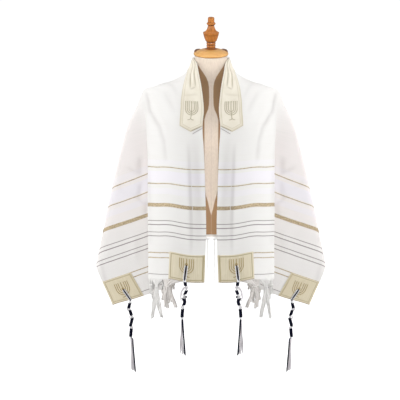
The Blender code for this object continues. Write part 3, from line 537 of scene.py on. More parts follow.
# painted shade in the grooves and under the corners
groove_shade = sum(((1 - rise(abs(climb - groove), half_width * 0.35, half_width)) * dark
              for groove, half_width, dark in GROOVE_SHADES), 0.0)
set_finish(finial_finish, {"Coat Weight": 0.15, "Coat Roughness": 0.1, "Specular IOR Level": 0.25},
           coats(FINIAL_RED, (rise(grain, 0.3, 0.75), FINIAL_LIGHT),
                 (rise(pores, 0.6, 0.75) * 0.5, FINIAL_DARK), (rise(groove_shade, 0.0, 1.0) * 0.85, FINIAL_DARK)),
           0.30 + grain * 0.1, relief=pores, depth=0.0001)

finial = turn(turned_profile(FINIAL_ROWS, 0.0009), 96, NECK_LEAN,
              neck_foot(finial_foot)).make("finial_wood", [finial_finish], 35)
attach(finial, "root")
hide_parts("finial")

# ---------------------------------------------------------------- shawl
# The shawl is one length of ivory woven cloth. Its middle lies round the neck and shoulders and
# both ends hang in front, with satin bands, gold lines and dusky lines woven across them.

# Places on it are flat lengths: along from the centre of the back, across from the neck edge.

CLOTH_HALF_LENGTH = 0.895
CLOTH_WIDTH = 0.590
CLOTH_OUTER, CLOTH_INNER = 0.0010, -0.0002
GRID_STEP = 0.005
SHOULDER_ALONG, SHOULDER_ACROSS = 0.275, 0.210
SHOULDER_POINT = np.array((0.232, 0.000, 1.072))
FOLD_BLUR, SHOULDER_BLUR = 0.006, 0.018
POINT_SOFT_REACH = (0.03, 0.12)
YOKE_SOFT_BELOW, YOKE_SOFT_BESIDE = 0.08, 0.06
# millimetres: across, back y, z, then ridge along, x, y, z, then chest x, y, z
YOKE_LINES = np.array([
    (0, 73, 1170, 105, 66, 0, 1163, 30, -112, 1047),
    (75, 83, 1112, 140, 92, 4, 1112, 98, -103, 1049),
    (150, 108, 1040, 200, 156, 4, 1090, 166, -64, 1056)]) / 1000
NECK_SPEED, BACK_SPEED = 0.62, 0.85
DOWN_CHEST = (-0.04, -0.16, -0.98)
BACK_LINE_CENTRE = (0.000, 0.118, 0.970)
BACK_LINE_LEAVING = (0.92, 0.0, 0.05)
BACK_LINE_MIDDLE_ALONG, BACK_LINE_MIDDLE = 0.150, np.array((0.135, 0.085, 1.012))
# degrees turned about the shoulder point, and the heading there (0 = outward, 90 = backward)
FOLD_HEADINGS = np.array([(0, 38), (3.5, 178), (10, 176), (13.5, 8), (22, 10), (37, 14), (41.5, 168),
                          (56, 172), (60, 6), (69, 8), (73, 168), (90, 165)])
FOLD_START = (-3.0, -9.0)
FOLD_SOFTNESS, EVEN_SOFTNESS = 3.0, 28.0
FAN_CURVE, FAN_REACH, FAN_SIZE = 0.30, 0.60, 0.76
FOLDS_OPEN_FROM, FOLDS_OPEN_BY = 0.02, 0.16
# degrees turned, how far the cloth sinks by the upper reach, and by the lower reach more
FOLD_SINK = np.array([(0, 0.010, 0), (4, 0.010, 0), (12, 0.010, 0.007), (19, 0.010, 0.007), (37, 0, 0),
                      (90, 0, 0)])
UPPER_REACH, LOWER_REACH = 0.25, 0.65
# millimetres: drop, x, y
FRONT_EDGE = np.array([(0, 30, -112), (60, 24.5, -124), (120, 29, -133), (200, 24.5, -138), (320, 20.5, -141),
                       (450, 17.2, -142), (620, 22.5, -143)]) / 1000
PANEL_BULGE = (0.006, 0.034)
CHEST_SETTLES_BY = 0.16
BACK_FALLS_FREE = 0.004
# millimetres: along, across, reach along, reach across, and how far out, back and up it lies there
SETTLES = np.array([
    (150, 0, 36, 50, -11.5, 0, 0), (800, 125, 350, 42, 0, 0, 12), (800, 215, 350, 22, 0, 0, -4),
    (895, 590, 50, 50, 3, 0, 8), (100, 10, 42, 45, 0, 0, 6.5), (206, 115, 28, 28, 0, 0, -9),
    (282, 202, 30, 30, 2, 0, 7.5), (480, 212, 130, 24, -8.5, 0, 0), (780, 212, 120, 24, -3.5, 0, 0)]) / 1000
# side (0 = both), millimetres: start along, across, end along, across, height, half width, then shade
CREASES = [
    (0, 417.5, 32.5, 399, 1, -0.8, 3.4, 0.25), (0, 320, 212, 440, 212, 0, 15, 0.12),
    (0, 170, 100, 262, 190, 0, 55, 0.12), (0, 300, 232, 359, 288, 0, 7, 0.12),
    (0, 359, 288, 421, 316, 0, 7, 0.12), (0, 421, 316, 529, 404, 0, 7, 0.12),
    (0, 529, 404, 728, 562, 0, 7, 0.14), (0, 728, 562, 870, 592, 0, 7, 0.16),
    (0, 296, 200, 362, 190, -4.2, 7.5, 0.3), (0, 352, 192, 406, 144, -4, 7.5, 0.3),
    (0, 398, 148, 452, 130, -2.8, 8, 0.22), (0, 440, 132, 515, 127, -2, 8, 0.2),
    (0, 330, 168, 420, 112, 3, 11, -0.06), (0, 284, 136, 356, 96, -2.2, 9, 0.12),
    (0, 240, 110, 300, 86, -1.8, 8, 0.1), (0, 450, 48, 800, 48, -0.8, 5.8, 0.38),
    (0, 430, 214, 540, 208, 0, 13, 0.12), (0, 540, 208, 690, 206, 0, 13, 0.18),
    (0, 690, 206, 790, 206, 0, 13, 0.12), (0, 740, 110, 870, 110, 0, 90, 0.06),
    (0, 420, 26, 780, 28, 0, 17, 0.22), (0, 470, 22, 740, 16, -1.4, 6.5, 0.06),
    (0, 400, 262, 540, 306, 0, 28, 0.08), (0, 480, 300, 534, 325, -3, 8, 0.18),
    (0, 500, 352, 536, 318, -2.4, 7, 0.14), (0, 555, 330, 604, 360, -2.4, 8, 0.16),
    (0, 592, 366, 632, 346, -2, 7, 0.12), (0, 620, 338, 668, 372, -2, 8, 0.12),
    (1, 530, 398, 566, 378, -1.2, 7, 0.06), (-1, 545, 404, 582, 388, -1.2, 7, 0.06),
    (1, 690, 402, 760, 440, 1.8, 12, 0.04), (-1, 700, 420, 782, 452, 1.8, 12, 0.04),
    (1, 770, 296, 880, 322, 2, 12, 0.06), (-1, 784, 310, 890, 300, 2, 12, 0.06),
    (0, 20, 560, 60, 420, -4, 15, 0.08), (1, 52, 330, 110, 220, -5, 13, 0.1),
    (-1, 40, 300, 118, 232, -4.5, 12, 0.1), (1, 118, 520, 150, 360, -4.5, 16, 0.08),
    (-1, 104, 580, 142, 400, -4, 15, 0.08), (1, 196, 470, 205, 330, 4, 16, 0),
    (-1, 186, 500, 212, 372, 4.5, 15, 0), (1, 0, 205, 60, 166, -3, 10, 0.08),
    (-1, 4, 190, 76, 172, -2.6, 10, 0.08), (1, 250, 520, 262, 400, -4, 15, 0.08),
    (-1, 262, 560, 258, 420, -3.6, 15, 0.08), (1, 332, 560, 316, 430, 3.6, 14, 0),
    (-1, 322, 500, 330, 392, 3, 13, 0)]


def bell(radius):
    """Weights of a Gaussian blur of that radius in samples."""
    reach = int(3 * radius) + 1
    weights = np.exp(-0.5 * (np.arange(-reach, reach + 1) / radius) ** 2)
    return weights / weights.sum()


def blurred(values, radius):
    """The values blurred along their first axis, with the ends kept in place."""
    weights = bell(radius)
    reach = len(weights) // 2
    before = 2 * values[:1] - values[reach:0:-1]
    after = 2 * values[-1:] - values[-2:-reach - 2:-1]
    padded = np.concatenate([before, values, after])
    return sum(w * padded[i:i + len(values)] for i, w in enumerate(weights))


def fan_grid():
    """Offsets from the shoulder point, by turn and by distance from it."""
    turns = np.linspace(0.0, 90.0, 361)
    heading = np.radians(blurred(np.interp(turns, *FOLD_HEADINGS.T), FOLD_SOFTNESS))
    tilts = []
    for start, rate in zip(FOLD_START, (np.cos(heading), np.sin(heading))):
        run = np.concatenate([[0.0], np.cumsum((rate[1:] + rate[:-1]) / 2 * turns[1])])
        tilts.append(np.tan(np.radians(start + run)))
    folded = np.stack(tilts, axis=-1)
    even = blurred(folded, EVEN_SOFTNESS)
    reach = np.linspace(0.0, FAN_SIZE, 153)
    far = np.maximum(reach, 1e-4)[None, :, None]
    opened = ease(far, FOLDS_OPEN_FROM, FOLDS_OPEN_BY)
    flat = far * (even[:, None] * (far / FAN_REACH) ** -FAN_CURVE + (folded - even)[:, None] * opened)
    rates = np.gradient(flat, reach, axis=1)
    fall = np.sqrt(np.clip(1.0 - (rates ** 2).sum(axis=-1), 0.05, 1.0))
    steps = (fall[:, 1:] + fall[:, :-1]) / 2 * np.diff(reach)
    drop = np.concatenate([np.zeros((len(turns), 1)), np.cumsum(steps, axis=1)], axis=1)
    upper, lower = (np.interp(turns, FOLD_SINK[:, 0], FOLD_SINK[:, k])[:, None] for k in (1, 2))
    drop += upper * ease(reach, 0.0, UPPER_REACH) + lower * ease(reach, UPPER_REACH, LOWER_REACH)
    return turns, reach, np.concatenate([flat, -drop[..., None]], axis=-1)


FAN = fan_grid()


def fan_offset(turn, distance):
    """Offset from the shoulder point of cloth at that turn and distance."""
    turns, reach, offsets = FAN
    row = np.clip(np.asarray(turn) / turns[1], 0, len(turns) - 1.001)
    column = np.clip(np.asarray(distance) / reach[1], 0, len(reach) - 1.001)
    i, j = row.astype(int), column.astype(int)
    s, t = (row - i)[..., None], (column - j)[..., None]
    return ((offsets[i, j] * (1 - t) + offsets[i, j + 1] * t) * (1 - s)
            + (offsets[i + 1, j] * (1 - t) + offsets[i + 1, j + 1] * t) * s)


def yoke(along, across):
    """The part of the half shawl that lies on the neck, shoulder and chest."""
    lines = []
    for near, back_y, back_z, ridge_along, *places in YOKE_LINES:
        knots = [(0.0, back_y, back_z), places[:3], places[3:]]
        leaving = (NECK_SPEED if near == 0.0 else BACK_SPEED, 0.0, 0.0)
        lines.append(curve_through([0.0, ridge_along, SHOULDER_ALONG], knots, along, leaving, DOWN_CHEST))
    arriving = (SHOULDER_POINT - BACK_LINE_MIDDLE) / (SHOULDER_ALONG - BACK_LINE_MIDDLE_ALONG)
    lines.append(curve_through([0.0, BACK_LINE_MIDDLE_ALONG, SHOULDER_ALONG],
                               [BACK_LINE_CENTRE, BACK_LINE_MIDDLE, SHOULDER_POINT],
                               along, BACK_LINE_LEAVING, arriving))
    surface = curve_through([*YOKE_LINES[:, 0], SHOULDER_ACROSS], lines, across)
    return surface.reshape(len(across), len(along), 3).transpose(1, 0, 2)


def draped_half():
    """The half shawl's middle surface on an even flat grid, with its folds."""
    along = np.linspace(0.0, CLOTH_HALF_LENGTH, round(CLOTH_HALF_LENGTH / GRID_STEP) + 1)
    across = np.linspace(0.0, CLOTH_WIDTH, round(CLOTH_WIDTH / GRID_STEP) + 1)
    r, c = round(SHOULDER_ALONG / GRID_STEP), round(SHOULDER_ACROSS / GRID_STEP)
    surface = np.zeros((len(along), len(across), 3))
    surface[:r + 1, :c + 1] = yoke(along[:r + 1], across[:c + 1])
    # hanging side, which fans out from the shoulder point
    drops, falls = along[r:] - SHOULDER_ALONG, across[c:] - SHOULDER_ACROSS
    turned = np.degrees(np.arctan2(falls, np.maximum(drops, 1e-9)[:, None]))
    surface[r:, c:] = SHOULDER_POINT + fan_offset(turned, np.hypot(drops[:, None], falls))
    # front panel, between the centre gap and the fan's first fold
    share = across[:c + 1, None] / SHOULDER_ACROSS
    edge = curve_through(FRONT_EDGE[:, 0], FRONT_EDGE[:, 1:], drops)
    fold = fan_offset(np.zeros_like(drops), drops)
    chest = surface[r, :c + 1].copy()
    chest_bulge = (chest - chest[0] * (1 - share) - chest[-1] * share)[:, :2]
    swell = np.sin(np.pi * share) * (1.0, -1.0)
    panel_bulge = swell * PANEL_BULGE * np.concatenate([np.ones_like(share), 1 - 0.35 * share], 1)
    for row, drop in enumerate(drops):
        settled = ease(drop, 0.0, CHEST_SETTLES_BY)
        plan = edge[row] * (1 - share) + (SHOULDER_POINT[:2] + fold[row, :2]) * share
        surface[r + row, :c + 1, :2] = plan + chest_bulge * (1 - settled) + panel_bulge * settled
        sink = FOLD_SINK[0, 1] * ease(drop, 0.0, UPPER_REACH) * (1 - share[:, 0])
        surface[r + row, :c + 1, 2] = chest[:, 2] + fold[row, 2] + sink
    # back panel, between the centre back and the fan's last fold
    side = fan_offset(np.full_like(falls, 90.0), falls)
    line = surface[:r + 1, c].copy()
    pull = ease(along[:r + 1] / SHOULDER_ALONG, 0.15, 1.0)[:, None]
    for column, fall in enumerate(falls):
        straight = np.array((0.0, BACK_FALLS_FREE * ease(fall, 0.0, 0.1), -fall))
        surface[:r + 1, c + column] = line + straight * (1 - pull) + side[column] * pull
    return along, across, surface


def blurred_sheet(surface, radius):
    """The half sheet blurred both ways, as one cloth with its mirrored half."""
    reach = len(bell(radius)) // 2
    mirrored = surface[reach:0:-1] * (-1.0, 1.0, 1.0)
    whole = blurred(np.concatenate([mirrored, surface]), radius)[reach:]
    return blurred(whole.transpose(1, 0, 2), radius).transpose(1, 0, 2)


def normals_of(surface):
    return unit(np.cross(np.gradient(surface, GRID_STEP, axis=0), np.gradient(surface, GRID_STEP, axis=1)))


def relief_and_shade(rows, along, across):
    """What the creases of a table raise the cloth by at each place, and how they shade it."""
    relief, shade = np.zeros(np.shape(along)), np.zeros(np.shape(along))
    for side, *lengths, darkness in rows:
        start_u, start_v, end_u, end_v, height, half_width = np.array(lengths) / 1000
        run_u, run_v = end_u - start_u, end_v - start_v
        for way in ((1, -1) if side == 0 else (side,)):
            from_u, from_v = way * along - start_u, across - start_v
            held = np.clip((from_u * run_u + from_v * run_v) / (run_u ** 2 + run_v ** 2), 0.0, 1.0)
            away = np.hypot(from_u - held * run_u, from_v - held * run_v)
            taper = np.sqrt(np.clip(1.0 - (2.0 * held - 1.0) ** 2, 0.04, 1.0))
            weight = taper * np.exp(-(away / half_width) ** 2)
            relief += height * weight
            shade += darkness * weight
    return relief, np.clip(shade, 0.0, 1.0)


def whole_surface():
    """The whole shawl's middle surface with its creases, and its outward normals."""
    along, across, rough = draped_half()
    u, v = np.meshgrid(along, across, indexing="ij")
    past_along, past_across = u - SHOULDER_ALONG, v - SHOULDER_ACROSS
    near_point = 1.0 - ease(np.hypot(past_along, past_across), *POINT_SOFT_REACH)
    on_yoke = ((1.0 - ease(past_along, 0.0, YOKE_SOFT_BELOW))
               * (1.0 - ease(past_across, 0.0, YOKE_SOFT_BESIDE)))
    softness = np.maximum(near_point, on_yoke)[..., None]
    half = (blurred_sheet(rough, FOLD_BLUR / GRID_STEP) * (1.0 - softness)
            + blurred_sheet(rough, SHOULDER_BLUR / GRID_STEP) * softness)
    for at_u, at_v, reach_u, reach_v, *shift in SETTLES:
        weight = np.exp(-0.5 * (((u - at_u) / reach_u) ** 2 + ((v - at_v) / reach_v) ** 2))
        half = half + weight[..., None] * np.array(shift)
    whole = np.concatenate([half[:0:-1] * (-1.0, 1.0, 1.0), half])
    u, v = np.concatenate([-u[:0:-1], u]), np.concatenate([v[:0:-1], v])
    whole = whole + normals_of(whole) * relief_and_shade(CREASES, u, v)[0][..., None]
    return whole, normals_of(whole)


SURFACE, NORMALS = whole_surface()


def cubic_weights(t):
    weights = [-t + 2 * t**2 - t**3, 2 - 5 * t**2 + 3 * t**3, t + 4 * t**2 - 3 * t**3, t**3 - t**2]
    return np.stack(weights, -1) / 2


def on_cloth(along, across, lift=0.0):
    """Places that height over the middle surface. Negative lengths lie on the left half."""
    along, across, lift = np.broadcast_arrays(np.asarray(along, float), across, lift)
    rows, columns = SURFACE.shape[:2]
    row = np.clip((along / CLOTH_HALF_LENGTH + 1) / 2 * (rows - 1), 0.0, rows - 1.001)
    column = np.clip(across / CLOTH_WIDTH * (columns - 1), 0.0, columns - 1.001)
    i, j = row.astype(int), column.astype(int)
    row_weights, column_weights = cubic_weights(row - i), cubic_weights(column - j)
    place, normal = 0.0, 0.0
    for a in range(4):
        for b in range(4):
            weight = (row_weights[..., a] * column_weights[..., b])[..., None]
            at = np.clip(i + a - 1, 0, rows - 1), np.clip(j + b - 1, 0, columns - 1)
            place = place + SURFACE[at] * weight
            normal = normal + NORMALS[at] * weight
    return place + unit(normal) * lift[..., None]


def rim_of(grid):
    """The rows and columns of a grid's edge points, once round."""
    last_row, last_column = grid.shape[0] - 1, grid.shape[1] - 1
    rows, columns = np.arange(last_row), np.arange(last_column)
    i = [0 * columns, rows, 0 * columns + last_row, last_row - rows]
    j = [columns, 0 * rows + last_column, last_column - columns, 0 * rows]
    return np.concatenate(i), np.concatenate(j)


def shell(pile, along, across, low, high, flats=None, shade=0.0):
    """A sheet of cloth between two heights over the shawl's middle surface, with a rounded edge."""
    flats = np.stack([across, along], -1) if flats is None else flats
    outer, inner = on_cloth(along, across, high), on_cloth(along, across, low)
    top = pile.add_grid(outer, flats, turned_over=True, shade=shade)
    under = pile.add_grid(inner, flats, shade=shade)
    i, j = rim_of(outer)
    rows, columns = outer.shape[:2]
    outward = unit(outer[i, j] - outer[np.clip(i, 1, rows - 2), np.clip(j, 1, columns - 2)])
    thickness = np.linalg.norm(outer - inner, axis=-1)[i, j][:, None]
    middle = pile.add_points((outer[i, j] + inner[i, j]) / 2 + outward * thickness / 2)
    rings = [top + i * columns + j, middle + np.arange(len(i)), under + i * columns + j]
    edge, next_edge = flats[i, j], np.roll(flats[i, j], -1, 0)
    for above, below in zip(rings, rings[1:]):
        pile.add_quads([above, np.roll(above, -1), np.roll(below, -1), below],
                       [edge, next_edge, next_edge, edge])


def edged(low, high, step, margin):
    """Even stations from low to high, with one more close to each end."""
    inner = np.linspace(low, high, round((high - low) / step) + 1)
    return np.concatenate([inner[:1], [low + margin], inner[1:-1], [high - margin], inner[-1:]])


# woven across: centre along, half width, and for the satin how much of it shows
SATIN_BANDS = [(0.5168, 0.0088, 0.35), (0.5637, 0.0182, 0.85), (0.6118, 0.0098, 0.50)]
WIDE_GOLD = (0.6570, 0.0060)
GOLD_LINES = [(0.5325, 0.0015), (0.5870, 0.0015), (0.8120, 0.0015), (0.8280, 0.0015)]
DUSKY_LINES = [(0.7085, 0.0010), (0.7215, 0.0013), (0.7455, 0.0010), (0.7580, 0.0012), (0.8810, 0.0009)]
IVORY = (0.90, 0.89, 0.87)
IVORY_SLUB = (0.86, 0.84, 0.81)
BLUSH = (0.950, 0.895, 0.880)
IVORY_SHADE = (0.46, 0.43, 0.435)
SATIN = (0.92, 0.895, 0.945)
GOLD = (0.60, 0.485, 0.32)
GOLD_DARK = (0.28, 0.21, 0.115)
DUSKY = (0.20, 0.15, 0.155)
THREAD_PITCH = 0.0011
SELVEDGE = 0.0012
# painted highlight along the pressed crease, where the gold lines are left out
PRESSED_CREASE_HIGHLIGHT = (0.0425, 0.0012)          # across, half width
TIP_SHADOW = (0.3984, 0.587, 0.0010)      # along at the neck edge, its slope, half width
TIP_SHADOW_REACH = (0.0168, 0.0150)       # across, half width
SIDE_LAG = 0.0175
WANDER = 0.0012


def band(value, centre, half_width, soft=0.0004):
    """1 inside the band and 0 outside it."""
    return 1 - rise(abs(value - centre), half_width - soft, half_width + soft)


def crease_shade():
    return Wire.node("Attribute", {"attribute_name": "shade"}, {}, "Fac")


woven = start_finish("shawl_weave")
across, along = flat_place()
# the side hangs a little lower than the front, least of all near the hem
along = abs(along)
along = along - rise(across, 0.24, 0.46) * (1 - rise(along, 0.50, 0.72)) * SIDE_LAG
weft = noise((across * 9.0, along * 420.0, 0.0), 1.0, 3.0, 0.6)
slubs = noise((across * 22.0, along * 900.0, 3.0), 1.0, 2.0, 0.6)
cloudy = noise((across, along, 0.0), 14.0, 3.0)
mottled = noise((across * 170.0, along * 260.0, 1.0), 1.0, 3.0, 0.75)
wander = along + (noise((across, 0.0, 7.0), 30.0, 2.0) - 0.5) * WANDER
threads = waves(across, THREAD_PITCH) * waves(along, THREAD_PITCH)
on_side = rise(across, 0.21, 0.29) * (0.9 - rise(along, 0.60, 0.74) * 0.6)
satin = sum((band(wander, centre, half_width, 0.0014) * shows
             for centre, half_width, shows in SATIN_BANDS), 0.0)
gold = sum((band(wander, *line) for line in GOLD_LINES), band(wander, *WIDE_GOLD))
# the gold lines are left out along the pressed crease, a painted highlight
gold = gold * (1 - band(across, *PRESSED_CREASE_HIGHLIGHT) * 0.75)
dusky = sum((band(wander, *line) for line in DUSKY_LINES), 0.0)
start, slope, half_width = TIP_SHADOW
tip_shadow = band(along - across * slope, start, half_width) * band(across, *TIP_SHADOW_REACH, 0.002)
colour = coats(IVORY, (on_side, BLUSH),
               (rise(weft, 0.42, 0.8) * 0.55 + rise(cloudy, 0.4, 0.8) * 0.25, IVORY_SLUB),
               (satin, SATIN), (gold, blend(rise(mottled, 0.36, 0.70), GOLD, GOLD_DARK)),
               (dusky * 0.9, DUSKY), (tip_shadow * 0.75, DUSKY))
colour = blend(crease_shade(), colour, blend(1.0, colour, IVORY_SHADE, blend_type="MULTIPLY"))
set_finish(woven, {"Sheen Weight": 0.15, "Sheen Roughness": 0.5, "Specular IOR Level": 0.3}, colour,
           0.85 - satin * 0.35 - gold * 0.4, relief=threads * 0.2 + slubs * 0.6 + satin * 0.4 + gold * 0.5,
           depth=0.0005, Metallic=gold * 0.45)

pile = Pile()
along, across = np.meshgrid(edged(-CLOTH_HALF_LENGTH, CLOTH_HALF_LENGTH, GRID_STEP, SELVEDGE),
                            edged(0.0, CLOTH_WIDTH, GRID_STEP, SELVEDGE), indexing="ij")
shell(pile, along, across, CLOTH_INNER, CLOTH_OUTER, shade=relief_and_shade(CREASES, along, across)[1])
shawl = pile.make("shawl", [woven])
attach(shawl, "root")
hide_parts("shawl_back", "shawl_left", "shawl_right")

# ---------------------------------------------------------------- neckband
# The neckband is a doubled strip of cream satin sewn along the neck edge, with a pointed end on
# each front, a stitched border, a corded inner edge and a seven-branched lamp worked on each end.

NECKBAND_HALF_LENGTH = 0.3925
NECKBAND_POINT = 0.0175
NECKBAND_NEAR = 0.0010
NECKBAND_WIDTH = 0.0725
# millimetres: along, across of the outer edge
NECKBAND_FAR = np.array([(0, 73.5), (90, 69), (132, 55), (180, 54), (227, 60), (279, 70.5), (325, 77.5),
                         (395, 74)]) / 1000
# columns as in CREASES
PLEATS = [
    (0, 80, 4, 204, 36, -0.6, 2.6, 0.8), (0, 196, 34, 264, 41, -0.6, 2.6, 0.85),
    (0, 110, 0, 210, 19, -0.6, 2.4, 0.75), (0, 202, 18, 258, 21, -0.6, 2.6, 0.8),
    (0, 260, 22, 268, 40, -0.4, 2.4, 0.5), (0, 90, 10, 256, 31, 2.2, 4.2, -0.05),
    (0, 100, 26, 250, 53, 1.4, 5, -0.05), (0, 130, -4, 250, 11, 1, 4, -0.05),
    (0, 285, 16, 292, 66, -0.6, 3.4, 0.2), (0, 305, 60, 318, 26, -0.5, 4.4, 0.14)]
TRIM_LOW, TRIM_HIGH = 0.0013, 0.0025
NECKBAND_STEP, NECKBAND_FINE_STEP = 0.0024, 0.0013
BORDER_INSIDE, BORDER_NEARER = 0.0088, 0.0035
BORDER_DASH = 0.0032
PIPING_RADIUS = 0.0012
PIPING_LAY = 0.0030
# across at its middle, along at its foot, width, height
NECK_LAMP = (0.0400, 0.3725, 0.0415, 0.062)
LAMP_BRANCHES = (1.0, 0.71, 0.42)
LAMP_BEND = 0.58
STITCH_HALF_WIDTH, STITCH_HALF_HEIGHT = 0.0011, 0.0007
STITCH_PITCH = 0.0009
CREAM = (0.89, 0.84, 0.725)
CREAM_SHADE = (0.79, 0.73, 0.60)
# painted shade in the pleats and along the pointed ends
CREAM_PAINTED_SHADE = (0.40, 0.34, 0.235)
CREAM_THREAD = (0.52, 0.45, 0.29)
LAMP_THREAD = (0.50, 0.46, 0.32)
PIPING = (0.90, 0.87, 0.77)


def evenly(line, step):
    """A polyline with points no further apart than the step."""
    run = lengths_along(line)
    wanted = np.linspace(0.0, run[-1], max(3, round(run[-1] / step) + 1))
    return np.stack([np.interp(wanted, run, column) for column in np.transpose(line)], -1)


def lamp_strokes(width, height):
    """Lines of a plain seven-branched lamp, across and up from the middle of its foot."""
    foot = [(-0.24, 0.0), (-0.08, 0.015), (0.0, 0.08), (0.08, 0.015), (0.24, 0.0)]
    strokes = [[(0.0, 0.05 * height), (0.0, height)], [(x * width, y * height) for x, y in foot]]
    for share in LAMP_BRANCHES:
        reach = share * width / 2
        bowl = [(reach * math.cos(a), LAMP_BEND * height + 0.95 * reach * math.sin(a))
                for a in np.linspace(math.pi, 2 * math.pi, 25)]
        strokes.append([(-reach, height), *bowl, (reach, height)])
    return strokes


def work_lamp(pile, side, lamp, kind):
    """The lamp in satin stitch on a sewn-on piece. Its foot is nearest the cloth's end."""
    middle_across, foot_along, width, height = lamp
    for stroke in lamp_strokes(width, height):
        line = evenly(stroke, 0.0012)
        along, across = side * (foot_along - line[:, 1]), middle_across + line[:, 0]
        path = on_cloth(along, across, TRIM_HIGH)
        ups = unit(on_cloth(along, across, TRIM_HIGH + 0.01) - path)
        sweep(pile, path, STITCH_HALF_WIDTH, 8, kind, ups, STITCH_HALF_HEIGHT / STITCH_HALF_WIDTH)


def stitch_finish(name, light, dark, roughness, **varying):
    """Satin stitch, with its thread laid side by side."""
    made = start_finish(name)
    around, run = flat_place()
    laid = Wire.maths("SINE", run * (2 * math.pi / STITCH_PITCH) + around * 2.0)
    set_finish(made, {"Sheen Weight": 0.1}, blend(rise(laid, -1.0, 1.0), light, dark), roughness,
               relief=laid, depth=0.0002, **varying)
    return made


neckband_satin = start_finish("neckband_satin")
across, along = flat_place()
half = NECKBAND_WIDTH / 2
from_middle = across - (NECKBAND_NEAR + half)
off_middle = abs(from_middle)
tip_slope = NECKBAND_POINT / half
tip_inside = ((NECKBAND_HALF_LENGTH + NECKBAND_POINT - abs(along) - off_middle * tip_slope)
              * (1 / math.hypot(1.0, tip_slope)))
nearer = from_middle * -1
inside = Wire.maths("MINIMUM", half - off_middle + rise(nearer, 0.0, 0.02) * BORDER_NEARER, tip_inside)
border = band(inside, BORDER_INSIDE, 0.0007, 0.0006)
# darker within 4 to 8 mm of the edges on the lower part of each end
edge_darkening = (1 - rise(inside, 0.0040, 0.0080)) * rise(abs(along), 0.26, 0.34)
# painted shadow along the lower edge of each pointed end, on its side towards the shawl's neck edge
tip_edge_shadow = band(tip_inside, 0.0012, 0.0014, 0.0008) * rise(nearer, 0.0, 0.006)
tip_edge_shadow = tip_edge_shadow * rise(abs(along), NECKBAND_HALF_LENGTH - 0.004, NECKBAND_HALF_LENGTH + 0.002)
dashes = rise(waves(along + across, BORDER_DASH), -0.6, 0.2)
ribs = noise((across * 500.0, along * 30.0, 0.0), 1.0, 2.0)
uneven = noise((across, along, 0.0), 30.0, 3.0)
colour = coats(CREAM, (rise(uneven, 0.35, 0.75) * 0.5 + ribs * 0.3, CREAM_SHADE),
               (edge_darkening * 0.30, CREAM_THREAD), ((1 - rise(inside, 0.0008, 0.0034)) * 0.45, CREAM_THREAD),
               (border * (0.45 + dashes * 0.35), CREAM_THREAD), (tip_edge_shadow * 0.85, CREAM_PAINTED_SHADE),
               (crease_shade(), CREAM_PAINTED_SHADE))
set_finish(neckband_satin, {"Sheen Weight": 0.1, "Specular IOR Level": 0.35}, colour, 0.5 + ribs * 0.15,
           relief=ribs * 0.25 + uneven * 0.5 - border * (0.9 - dashes * 0.4), depth=0.0009)

thread = stitch_finish("neckband_thread", LAMP_THREAD, CREAM_THREAD, 0.45)
piping = start_finish("neckband_piping")
around, run = flat_place()
turns = Wire.maths("SINE", (run / PIPING_LAY + around) * (2 * math.pi))
set_finish(piping, {"Sheen Weight": 0.1}, blend(rise(turns, -1.0, 0.4), CREAM_SHADE, PIPING), 0.5,
           relief=turns, depth=0.0003)

pile = Pile()
lengthwise = edged(-1.0, 1.0, NECKBAND_STEP / NECKBAND_HALF_LENGTH, 0.002)[:, None]
crosswise = edged(0.0, 1.0, NECKBAND_FINE_STEP / NECKBAND_WIDTH, 0.008)[None, :]
along = lengthwise * (NECKBAND_HALF_LENGTH + NECKBAND_POINT * (1 - abs(2 * crosswise - 1)))
far_along, far_across = NECKBAND_FAR.T
far = curve_through(far_along, far_across, np.minimum(abs(along), far_along[-1]).ravel()).reshape(along.shape)
across = NECKBAND_NEAR + crosswise * (far - NECKBAND_NEAR)
pleat, shade = relief_and_shade(PLEATS, along, across)
flats = np.stack([np.broadcast_to(NECKBAND_NEAR + crosswise * NECKBAND_WIDTH, along.shape), along], -1)
shell(pile, along, across, TRIM_LOW, TRIM_HIGH + pleat, flats, shade)
for side in (1, -1):
    work_lamp(pile, side, NECK_LAMP, 1)
edge_along = np.linspace(-NECKBAND_HALF_LENGTH, NECKBAND_HALF_LENGTH, 320)
sweep(pile, on_cloth(edge_along, NECKBAND_NEAR + 0.0002, 0.0019), PIPING_RADIUS, 8, 2)
neckband = pile.make("atara", [neckband_satin, thread, piping])
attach(neckband, "root")
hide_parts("neckband")

# ---------------------------------------------------------------- corner patches
# Each corner is strengthened by an oblong of pale gold satin with a raised border, a lamp worked
# in gold thread, and a stitched eyelet in the lamp's middle for the tassel.

PATCH_WIDTH, PATCH_HEIGHT = 0.121, 0.086
# along, near and far across of the upper edge, and of the lower edge
PATCH_CUTS = {"front": ((0.8080, 0.0010, 0.1225), (0.8940, 0.0010, 0.1275)),
              "outer": ((0.8120, 0.4850, 0.5890), (0.8940, 0.4735, 0.5890))}
PATCH_STEP = 0.0018
# along at the lamp's foot, width, height
PATCH_LAMPS = {"front": (0.8790, 0.0475, 0.0585), "outer": (0.8815, 0.0465, 0.0500)}
# from the cloth's end, across
EYELETS = {"front": (0.056, 0.0624), "outer": (0.0405, 0.5325)}
EYELET_RADIUS = 0.0036
EYELET_STITCH = 0.0010
RIB_PITCH = 0.0022
PALE_GOLD = (0.67, 0.60, 0.43)
PALE_GOLD_LIGHT = (0.76, 0.69, 0.53)
# painted sheen where the patches lie far out to the sides
PATCH_PAINTED_SHEEN = (0.86, 0.74, 0.52)
PATCH_LINE = (0.36, 0.28, 0.12)
# painted shade along the patch's lower edge
PATCH_EDGE_SHADE = (0.30, 0.20, 0.10)
PATCH_THREAD = (0.56, 0.38, 0.12)

